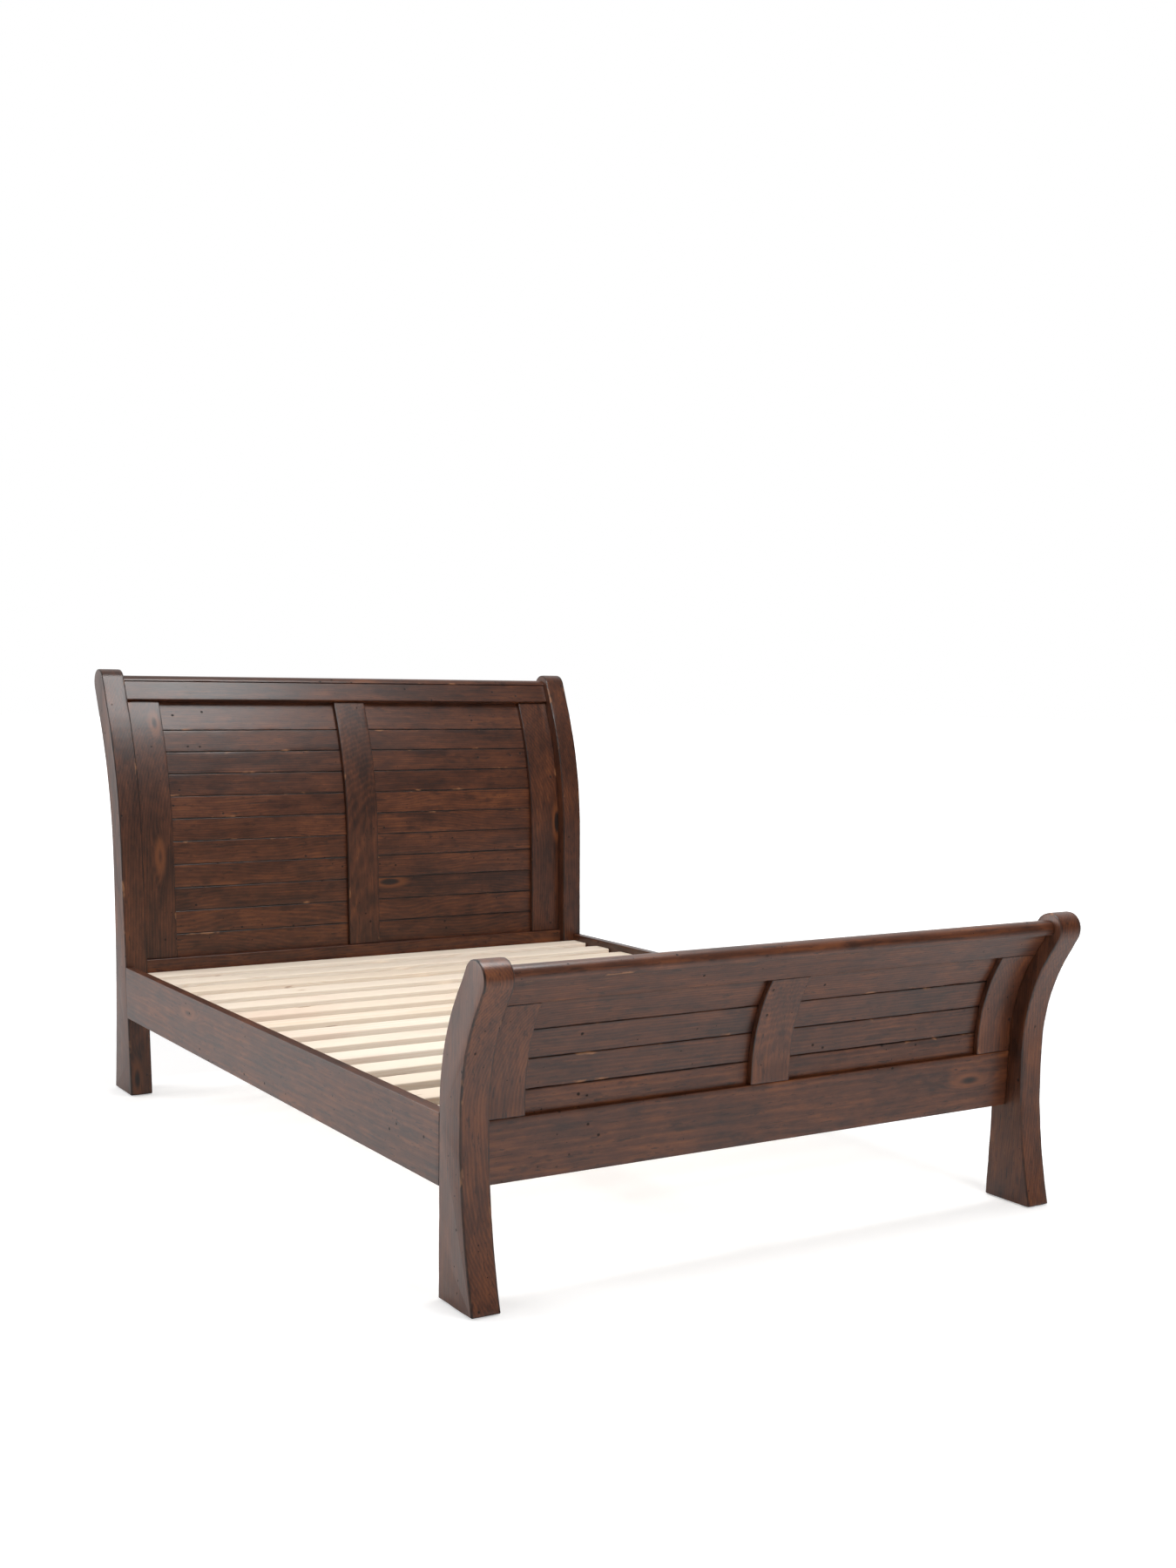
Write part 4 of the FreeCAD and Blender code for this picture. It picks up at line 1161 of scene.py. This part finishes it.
@dataclass
class BedEnd:
    """Headboard or footboard: posts, cap, rails, stiles, mullion and boards."""

    word: str
    boards: int
    finishes: Finishes
    seed: int
    # Tone shift for every timber of this end: below nought it is painted shade, above nought it is painted light.
    painted_light_bias: float = 0.0
    clear_x: float = 0.300
    post_clear: float = 0.820
    post_ease: float = 0.0035
    stile_ease: float = 0.0018
    rail_ease: float = 0.0012
    board_ease: float = 0.0006
    pieces: list[bpy.types.Object] = field(default_factory=list)

    def make(self) -> None:
        """Build every timber of this end."""
        rng = random.Random(self.seed)
        self.posts(rng)
        self.frame_timbers(rng)
        self.planks(rng)

    def cut_from_log(self, rng: random.Random) -> tuple[float, tuple[float, float, float]]:
        """A random tone and place in the log."""
        return rng.uniform(0.30, 0.70), (rng.uniform(-9, 9), rng.uniform(-0.05, 0.05), rng.uniform(-0.03, 0.03))

    def add(self, node: str, grain: Grain, at: float, ease: float, rng: random.Random, wear: float,
            lengthwise: float | None = None, tone_shift: float = 0.0) -> None:
        """Build one timber drawn out across the bed."""
        tone, shift = self.cut_from_log(rng)
        timber = Timber(node, 0, grain, at, ease=ease, wear=wear, lengthwise=lengthwise, tone=tone + tone_shift + self.painted_light_bias,
                        shift=shift, corner=0.0022)
        self.pieces.append(timber.build(self.finishes.stained))

    def posts(self, rng: random.Random) -> None:
        """The two posts."""
        for side, word in ((-1, "left"), (1, "right")):
            self.add(f"{self.word}_post_{word}", Grain.UPRIGHT, side * self.post_clear, self.post_ease, rng, 0.0016)

    def frame_timbers(self, rng: random.Random) -> None:
        """Cap, rails, stiles and mullion."""
        for part in ("cap", "top_rail", "bottom_rail"):
            self.add(f"{self.word}_{part}", Grain.ACROSS_BED, self.clear_x, self.rail_ease, rng, 0.0010, 0.016)
        for part in ("stile_left", "mullion", "stile_right"):
            low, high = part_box(f"{self.word}_{part}")
            self.add(f"{self.word}_{part}", Grain.UPRIGHT, (low.x + high.x) / 2, self.stile_ease, rng, 0.0012)

    def planks(self, rng: random.Random) -> None:
        """Tongued boards."""
        for number in range(1, self.boards + 1):
            self.add(f"{self.word}_board_{number:02d}", Grain.ACROSS_BED, self.clear_x, self.board_ease, rng,
                     0.0010, 0.018, rng.uniform(-0.25, 0.25))


@dataclass
class Sides:
    """Side rails and the ledgers inside them."""

    finishes: Finishes
    clear_y: float = 0.100
    rail_ease: float = 0.0008

    def make(self) -> None:
        """Build both sides."""
        rng = random.Random(31)
        for word in ("left", "right"):
            shift = (rng.uniform(-9, 9), rng.uniform(-0.05, 0.05), rng.uniform(-0.03, 0.03))
            rail = Timber(f"side_rail_{word}", 1, Grain.ALONG_BED, self.clear_y, ease=self.rail_ease, wear=0.0010,
                          lengthwise=0.016, tone=rng.uniform(0.4, 0.6), shift=shift, corner=0.0025)
            rail.build(self.finishes.stained)
            shift = (rng.uniform(-9, 9), 0.02, 0.01)
            dressed_copy(f"slat_ledger_{word}", Grain.ALONG_BED, self.finishes.slat, 0.5, shift)


@dataclass
class SlatDeck:
    """Fourteen planed slats, laid out by a geometry-node group."""

    finishes: Finishes
    count: int = 14
    corner: float = 0.010
    ease: float = 0.003
    corner_steps: int = 5
    seed: int = 7

    def make(self) -> None:
        """Build the deck as one mesh that stands for every slat."""
        names = [f"slat_{number:02d}" for number in range(1, self.count + 1)]
        first_low, first_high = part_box(names[0])
        last_low, last_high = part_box(names[-1])
        size = first_high - first_low
        head = (first_low.y + first_high.y) / 2
        foot = (last_low.y + last_high.y) / 2
        pattern = Pattern("slat_deck_pattern", [
            Knob("Length", "Float", size.x), Knob("Width", "Float", size.y), Knob("Thickness", "Float", size.z),
            Knob("Corner", "Float", self.corner), Knob("Count", "Int", self.count),
            Knob("Pitch", "Float", (foot - head) / (self.count - 1)), Knob("Head", "Float", head),
            Knob("Underside", "Float", first_low.z), Knob("Seed", "Int", self.seed),
            Knob("Finish", "Material", self.finishes.slat)])
        self.lay(pattern)
        mesh = pattern.bake("slats", bpy.data.meshes.new("slats_source"), self.soften)
        mesh.shade_smooth()
        sharpen(mesh, 50.0)
        finish_piece(mesh, self.finishes.slat, names)

    def soften(self, carrier: bpy.types.Object) -> None:
        """Ease the slats' arrises behind the group."""
        bevel = carrier.modifiers.new("ease", "BEVEL")
        bevel.width = self.ease
        bevel.segments = 3
        bevel.limit_method = "ANGLE"
        bevel.angle_limit = math.radians(50)

    def lay(self, pattern: Pattern) -> None:
        """Fill the group: one rounded slat, repeated and given its own stretch of log."""
        bench = pattern.bench
        outline = bench.node("CurvePrimitiveQuadrilateral", None,
                             {"Width": pattern.knob("Length"), "Height": pattern.knob("Width")})
        rounded = bench.node("FilletCurve", None, {"Curve": outline.outputs[0], "Radius": pattern.knob("Corner")})
        self.poly_corners(rounded)
        face = bench.node("FillCurve", None, {"Curve": rounded.outputs[0]})
        self.choose(face, "Mode", "N-gons", "NGONS")
        solid = bench.node("ExtrudeMesh", None, {"Mesh": face.outputs[0], "Offset Scale": pattern.knob("Thickness"),
                                                 "Individual": False})
        flipped = bench.node("FlipFaces", None, {0: face.outputs[0]})
        closed = bench.node("JoinGeometry")
        for part in (solid.outputs[0], flipped.outputs[0]):
            bench.tree.links.new(part, closed.inputs[0])
        welded = bench.node("MergeByDistance", None, {0: closed.outputs[0]})
        row = bench.node("MeshLine", None, {"Count": pattern.knob("Count")})
        number = Signal(bench, bench.node("InputIndex").outputs[0])
        place = bench.node("CombineXYZ", None, {"Y": pattern.knob("Head") + number * pattern.knob("Pitch"),
                                                "Z": pattern.knob("Underside")})
        spread_row = bench.node("SetPosition", None, {"Geometry": row.outputs[0], "Position": place.outputs[0]})
        shift = bench.node("RandomValue", {"data_type": "FLOAT_VECTOR"},
                           {"Min": (-9.0, -0.06, -0.02), "Max": (9.0, 0.06, 0.03), "Seed": pattern.knob("Seed")})
        tone = bench.node("RandomValue", {"data_type": "FLOAT"},
                          {"Min": 0.0, "Max": 1.0, "Seed": pattern.knob("Seed") + 1})
        marked = self.store(bench, spread_row.outputs[0], "shift", "FLOAT_VECTOR", shift)
        marked = self.store(bench, marked, "tone", "FLOAT", tone)
        laid = bench.node("InstanceOnPoints", None, {"Points": marked, "Instance": welded.outputs[0]})
        real = bench.node("RealizeInstances", None, {0: laid.outputs[0]})
        here = bench.node("InputPosition").outputs[0]
        parts = bench.node("SeparateXYZ", None, {0: here}).outputs
        turned = bench.node("CombineXYZ", None, {"X": parts[0], "Y": parts[1], "Z": parts[2]})
        own = bench.node("InputNamedAttribute", {"data_type": "FLOAT_VECTOR"}, {"Name": "shift"})
        total = bench.node("VectorMath", {"operation": "ADD"}, {0: turned.outputs[0], 1: own.outputs[0]})
        store = bench.node("StoreNamedAttribute", {"data_type": "FLOAT_VECTOR", "domain": "POINT"},
                           {"Geometry": real.outputs[0], "Name": "grain", "Value": total.outputs[0]})
        pattern.close(store.outputs[0])

    @staticmethod
    def store(bench: Bench, geometry: Any, name: str, kind: str, value: bpy.types.Node) -> Any:
        """Keep a value on every point under a name."""
        out = next(s for s in value.outputs if s.enabled)
        node = bench.node("StoreNamedAttribute", {"data_type": kind, "domain": "POINT"},
                          {"Geometry": geometry, "Name": name, "Value": out})
        return node.outputs[0]

    @staticmethod
    def choose(node: bpy.types.Node, socket: str, label: str, setting: str) -> None:
        """Pick a named option, on a socket or as a setting."""
        if socket in node.inputs:
            node.inputs[socket].default_value = label
        elif hasattr(node, "mode"):
            node.mode = setting

    def poly_corners(self, node: bpy.types.Node) -> None:
        """Round a curve's corners with short straight runs."""
        self.choose(node, "Mode", "Poly", "POLY")
        next(s for s in node.inputs if s.name == "Count").default_value = self.corner_steps


@dataclass
class CentreSupport:
    """Beam, leg and the levelling foot."""

    finishes: Finishes
    pitch: float = 0.00125
    thread_depth: float = 0.0006
    thread_sides: int = 28
    rows_per_turn: int = 6
    ribs: int = 30

    def make(self) -> None:
        """Build the support."""
        for node, grain, shift in (("centre_beam", Grain.ALONG_BED, (3.1, 0.01, 0.0)),
                                   ("centre_leg", Grain.UPRIGHT, (6.4, 0.02, 0.01))):
            dressed_copy(node, grain, self.finishes.slat, 0.7, shift)
        self.stem()
        self.pad()

    def stem(self) -> None:
        """Threaded stem with its hexagon collar."""
        low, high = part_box("levelling_stem")
        radius = 0.004
        collar_low, collar_high, collar_radius = 0.014, 0.020, high.x
        rows = int((high.z - low.z) / self.pitch * self.rows_per_turn)
        work = bmesh.new()
        rings = []
        for row in range(rows + 1):
            height = low.z + (high.z - low.z) * row / rows
            rings.append([self.thread_point(work, radius, height, 2 * math.pi * side / self.thread_sides,
                                            min(height - low.z, high.z - height))
                          for side in range(self.thread_sides)])
        for lower, upper in zip(rings, rings[1:]):
            for side in range(self.thread_sides):
                after = (side + 1) % self.thread_sides
                work.faces.new((lower[side], lower[after], upper[after], upper[side]))
        work.faces.new(list(reversed(rings[0])))
        work.faces.new(rings[-1])
        chamfer = 0.0009
        collar = lathe([(collar_radius - chamfer, collar_low), (collar_radius, collar_low + chamfer),
                        (collar_radius, collar_high - chamfer), (collar_radius - chamfer, collar_high)], 6)
        part = bpy.data.meshes.new("collar")
        collar.to_mesh(part)
        collar.free()
        work.from_mesh(part)
        finish_piece(mesh_from(work, "levelling_stem_thread"), self.finishes.steel,
                     ("levelling_stem",), "foot_stem")

    def thread_point(self, work: bmesh.types.BMesh, radius: float, height: float, turn: float,
                     from_end: float) -> bmesh.types.BMVert:
        """One point of the thread's surface."""
        phase = (height / self.pitch - turn / (2 * math.pi)) % 1.0
        cut = self.thread_depth * abs(2 * phase - 1)
        taper = max(0.0, 0.0012 - from_end) * 0.8
        reach = radius - cut - taper
        return work.verts.new((reach * math.cos(turn), reach * math.sin(turn), height))

    def pad(self) -> None:
        """Moulded pad with a ribbed rim and a socket."""
        low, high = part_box("levelling_pad")
        outer, boss, socket = high.x, 0.009, 0.0043
        profile = [(0.0195, 0.0), (0.0212, 0.0008), (outer, 0.0022), (outer, 0.0060), (0.0210, 0.0076),
                   (0.0195, 0.0080), (0.0112, 0.0084), (boss + 0.0003, 0.0094), (boss, 0.0122),
                   (boss - 0.0008, high.z), (socket + 0.0005, high.z), (socket, high.z - 0.0006), (socket, 0.003)]
        segments = self.ribs * 4
        work = lathe(profile, segments)
        for vert in work.verts:
            reach = math.hypot(vert.co.x, vert.co.y)
            if reach > outer - 0.0002:
                turn = math.atan2(vert.co.y, vert.co.x)
                trim = 1 - 0.00045 / outer * (0.5 - 0.5 * math.cos(self.ribs * turn))
                vert.co.x *= trim
                vert.co.y *= trim
        finish_piece(mesh_from(work, "levelling_pad_moulding"), self.finishes.nylon,
                     ("levelling_pad",), "foot_pad")


@dataclass
class Hardware:
    """Screws, bolts, glides, and the steel and dowels kept as they are."""

    finishes: Finishes
    screw_radius: float = 0.0044
    bolt_radius: float = 0.007
    glide_radius: float = 0.014

    def make(self) -> None:
        """Build the fasteners and dress the rest."""
        steel = self.finishes.steel
        finish_piece(set_out(self.screw(), seats("wood_screws"), steel, "screws", 3), steel,
                     ("wood_screws",))
        finish_piece(set_out(self.bolt(), seats("bed_bolts"), steel, "button_bolts", 5), steel,
                     ("bed_bolts",))
        nylon = self.finishes.nylon
        middles = [(points.min(0) + points.max(0)) / 2 for points in islands("post_glides")]
        places = [Seat(Vector((middle[0], middle[1], 0.0)), Vector((0, 0, 1))) for middle in middles]
        finish_piece(set_out(self.glide(), places, nylon, "glides", 9), nylon, ("post_glides",))
        for node in ("beam_hangers", "corner_brackets", "threaded_inserts"):
            dress_node(node, steel)
        dressed_copy("rail_dowels", Grain.ACROSS_BED, self.finishes.slat, 0.9, (1.0, 0.0, 0.0))

    @staticmethod
    def recess(work: bmesh.types.BMesh, sides: int, reach: float, depth: float) -> None:
        """Sink a star or hexagon into the last-made top face at height nought."""
        top = min(work.faces, key=lambda face: face.calc_center_median().z)
        inner = bmesh.ops.inset_region(work, faces=[top], thickness=0.0002)["faces"]
        del inner
        floor = [work.verts.new((0, 0, 0))]
        work.verts.remove(floor[0])
        ring = sorted(top.verts, key=lambda vert: math.atan2(vert.co.y, vert.co.x))
        for vert in ring:
            turn = math.atan2(vert.co.y, vert.co.x)
            cross = abs(math.cos(sides * turn / 2)) ** 3
            radius = reach * (0.42 + 0.58 * cross) if sides == 4 else reach * (
                math.cos(math.pi / 6) / math.cos((turn % (math.pi / 3)) - math.pi / 6))
            vert.co.x, vert.co.y = radius * math.cos(turn), radius * math.sin(turn)
        sunk = bmesh.ops.extrude_face_region(work, geom=[top])["geom"]
        moved = [item for item in sunk if isinstance(item, bmesh.types.BMVert)]
        if top.is_valid:
            bmesh.ops.delete(work, geom=[top], context="FACES_ONLY")
        for vert in moved:
            vert.co.z += depth
            vert.co.x *= 0.55 if sides == 4 else 0.98
            vert.co.y *= 0.55 if sides == 4 else 0.98

    def screw(self) -> bpy.types.Mesh:
        """Countersunk screw with a cross recess, head at the origin, pointing along +Z."""
        shank = 0.0022
        profile = [(self.screw_radius - 0.0002, 0.0), (self.screw_radius, 0.0002), (shank, 0.0022),
                   (shank * 0.9, 0.010), (shank * 0.8, 0.019), (0.0004, 0.021)]
        work = lathe(profile, 24)
        self.recess(work, 4, self.screw_radius * 0.62, 0.0014)
        return mesh_from(work, "screw")

    def bolt(self) -> bpy.types.Mesh:
        """Button-head bolt with a hexagon socket."""
        shank, rise = 0.004, 0.0045
        dome = [(self.bolt_radius * math.sin(angle) ** 0.8 if angle else 0.0, rise * (1 - math.cos(angle)))
                for angle in ()]
        profile = dome + [(0.0040, 0.0), (0.0052, 0.0004), (0.0063, 0.0014), (self.bolt_radius, 0.0030),
                          (self.bolt_radius, rise - 0.0003), (self.bolt_radius - 0.0003, rise), (shank, rise),
                          (shank, rise + 0.019), (shank - 0.0008, rise + 0.020)]
        work = lathe(profile, 36)
        self.recess(work, 6, 0.0024, 0.0026)
        return mesh_from(work, "bolt")

    def glide(self) -> bpy.types.Mesh:
        """Turned nylon glide with a softened edge."""
        edge = self.glide_radius
        profile = [(edge - 0.0012, 0.0), (edge - 0.0003, 0.0005), (edge, 0.0014), (edge, 0.0030), (0.002, 0.0030),
                   (0.002, 0.0140), (0.0008, 0.0150)]
        return mesh_from(lathe(profile, 40), "glide")


def dress_node(node: str, material: bpy.types.Material) -> None:
    """Give a CAD node a finish and leave its shape.

    Args:
        node: CAD node's name.
        material: Its finish.
    """
    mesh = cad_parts[node].data
    mesh.materials.clear()
    mesh.materials.append(material)
    LOG.info("dressed %s", node)


# ---------------------------------------------------------------- camera, light and floor

@dataclass(frozen=True)
class Camera:
    """Standing a few metres off the bed's left foot corner."""

    place: tuple[float, float, float] = (-2.4367, -3.9888, 1.2644)
    yaw: float = 30.132
    pitch: float = 11.081
    roll: float = 0.619
    lens: float = 38.753
    shift: tuple[float, float] = (0.06431, 0.14856)

    def make(self) -> None:
        """Set up the scene's camera."""
        yaw, pitch, roll = (math.radians(angle) for angle in (self.yaw, self.pitch, self.roll))
        forward = Vector((math.sin(yaw) * math.cos(pitch), math.cos(yaw) * math.cos(pitch), -math.sin(pitch)))
        level = Vector((math.cos(yaw), -math.sin(yaw), 0.0))
        above = level.cross(forward)
        right = level * math.cos(roll) + above * math.sin(roll)
        upward = above * math.cos(roll) - level * math.sin(roll)
        data = bpy.data.cameras.new("camera")
        camera = bpy.data.objects.new("camera", data)
        bpy.context.scene.collection.objects.link(camera)
        turn = Matrix((right, upward, -forward)).transposed()
        camera.matrix_world = Matrix.Translation(self.place) @ turn.to_4x4()
        data.lens = self.lens
        data.shift_x, data.shift_y = self.shift
        data.clip_end = 100.0
        bpy.context.scene.camera = camera


@dataclass(frozen=True)
class Lamp:
    """One soft panel of light."""

    name: str
    place: tuple[float, float, float]
    aim: tuple[float, float, float]
    size: tuple[float, float]
    power: float
    colour: Colour = (1.0, 1.0, 1.0)
    shines: bool = True

    def make(self) -> None:
        """Hang the panel and point it."""
        data = bpy.data.lights.new(self.name, "AREA")
        data.shape = "RECTANGLE"
        data.size, data.size_y = self.size
        data.energy = self.power
        data.color = self.colour
        lamp = bpy.data.objects.new(self.name, data)
        bpy.context.scene.collection.objects.link(lamp)
        lamp.location = self.place
        lamp.visible_glossy = self.shines
        lamp.rotation_mode = "QUATERNION"
        lamp.rotation_quaternion = (Vector(self.aim) - Vector(self.place)).to_track_quat("-Z", "Y")


class Studio:
    """White room with soft panels of light."""

    lamps: tuple[Lamp, ...] = (
        Lamp("left_panel", (-4.4, 2.4, 1.7), (-0.4, 0.0, 0.7), (3.4, 2.8), 120.0),
        Lamp("top_panel", (0.15, -0.9, 3.6), (-0.1, 0.3, 0.5), (1.7, 1.4), 86.0),
        Lamp("front_panel", (0.2, -3.9, 1.9), (0.0, -1.0, 0.5), (2.6, 1.8), 66.0, shines=False),
    )

    def make(self) -> None:
        """Set up light, world and floor."""
        settings = bpy.context.scene.view_settings
        settings.view_transform = "Standard"
        for lamp in self.lamps:
            lamp.make()
        self.world()
        self.floor()

    @staticmethod
    def world() -> None:
        """White to the eye, and a pale room with a dimmer near side for everything else."""
        world = bpy.data.worlds.new("room")
        bpy.context.scene.world = world
        world.use_nodes = True
        world.node_tree.nodes.clear()
        bench = Bench(world.node_tree)
        path = bench.node("LightPath")
        seen = Signal(bench, path.outputs["Is Camera Ray"])
        direction = bench.node("TexCoord").outputs["Generated"]
        _, back, _ = bench.split(direction)
        room = back.ramp(-0.50, 0.50) * 0.78 + 0.07
        strength = seen + (1 - seen) * room
        lit = bench.node("Background", None, {"Color": (1.0, 1.0, 1.0), "Strength": strength})
        bench.node("OutputWorld", None, {"Surface": lit.outputs[0]})

    @staticmethod
    def floor() -> None:
        """Pale floor that keeps the bed's shadow."""
        size = 60.0
        work = bmesh.new()
        bmesh.ops.create_grid(work, x_segments=1, y_segments=1, size=size)
        mesh = bpy.data.meshes.new("floor")
        work.to_mesh(mesh)
        work.free()
        material = bpy.data.materials.new("pale_floor")
        material.use_nodes = True
        material.node_tree.nodes.clear()
        bench = Bench(material.node_tree)
        seen = Signal(bench, bench.node("LightPath").outputs["Is Camera Ray"])
        across, along, _ = bench.split(bench.node("TexCoord").outputs["Object"])
        far = (across * across + along * along).root().ramp(2.2, 6.0)
        matt = bench.node("BsdfDiffuse", None, {"Color": (0.80, 0.80, 0.80)})
        glow = bench.node("Emission", None, {"Color": (1.0, 1.0, 1.0), "Strength": seen * (far * 0.7 + 0.455)})
        both = bench.node("AddShader", None, {0: matt.outputs[0], 1: glow.outputs[0]})
        bench.node("OutputMaterial", None, {"Surface": both.outputs[0]})
        mesh.materials.append(material)
        floor = bpy.data.objects.new("floor", mesh)
        bpy.context.scene.collection.objects.link(floor)


def main() -> None:
    """Build the bed's looks, the camera and the room."""
    logging.basicConfig(level=logging.INFO, format="%(message)s")
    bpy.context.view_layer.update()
    Camera().make()
    finishes = Finishes.make()
    # The headboard's darker tone is painted shade; the footboard's lighter tone is painted light.
    BedEnd("head", 11, finishes, 11, painted_light_bias=-0.22).make()
    BedEnd("foot", 4, finishes, 23, painted_light_bias=0.10).make()
    Sides(finishes).make()
    SlatDeck(finishes).make()
    CentreSupport(finishes).make()
    Hardware(finishes).make()
    Studio().make()


if __name__ == "__main__":
    main()
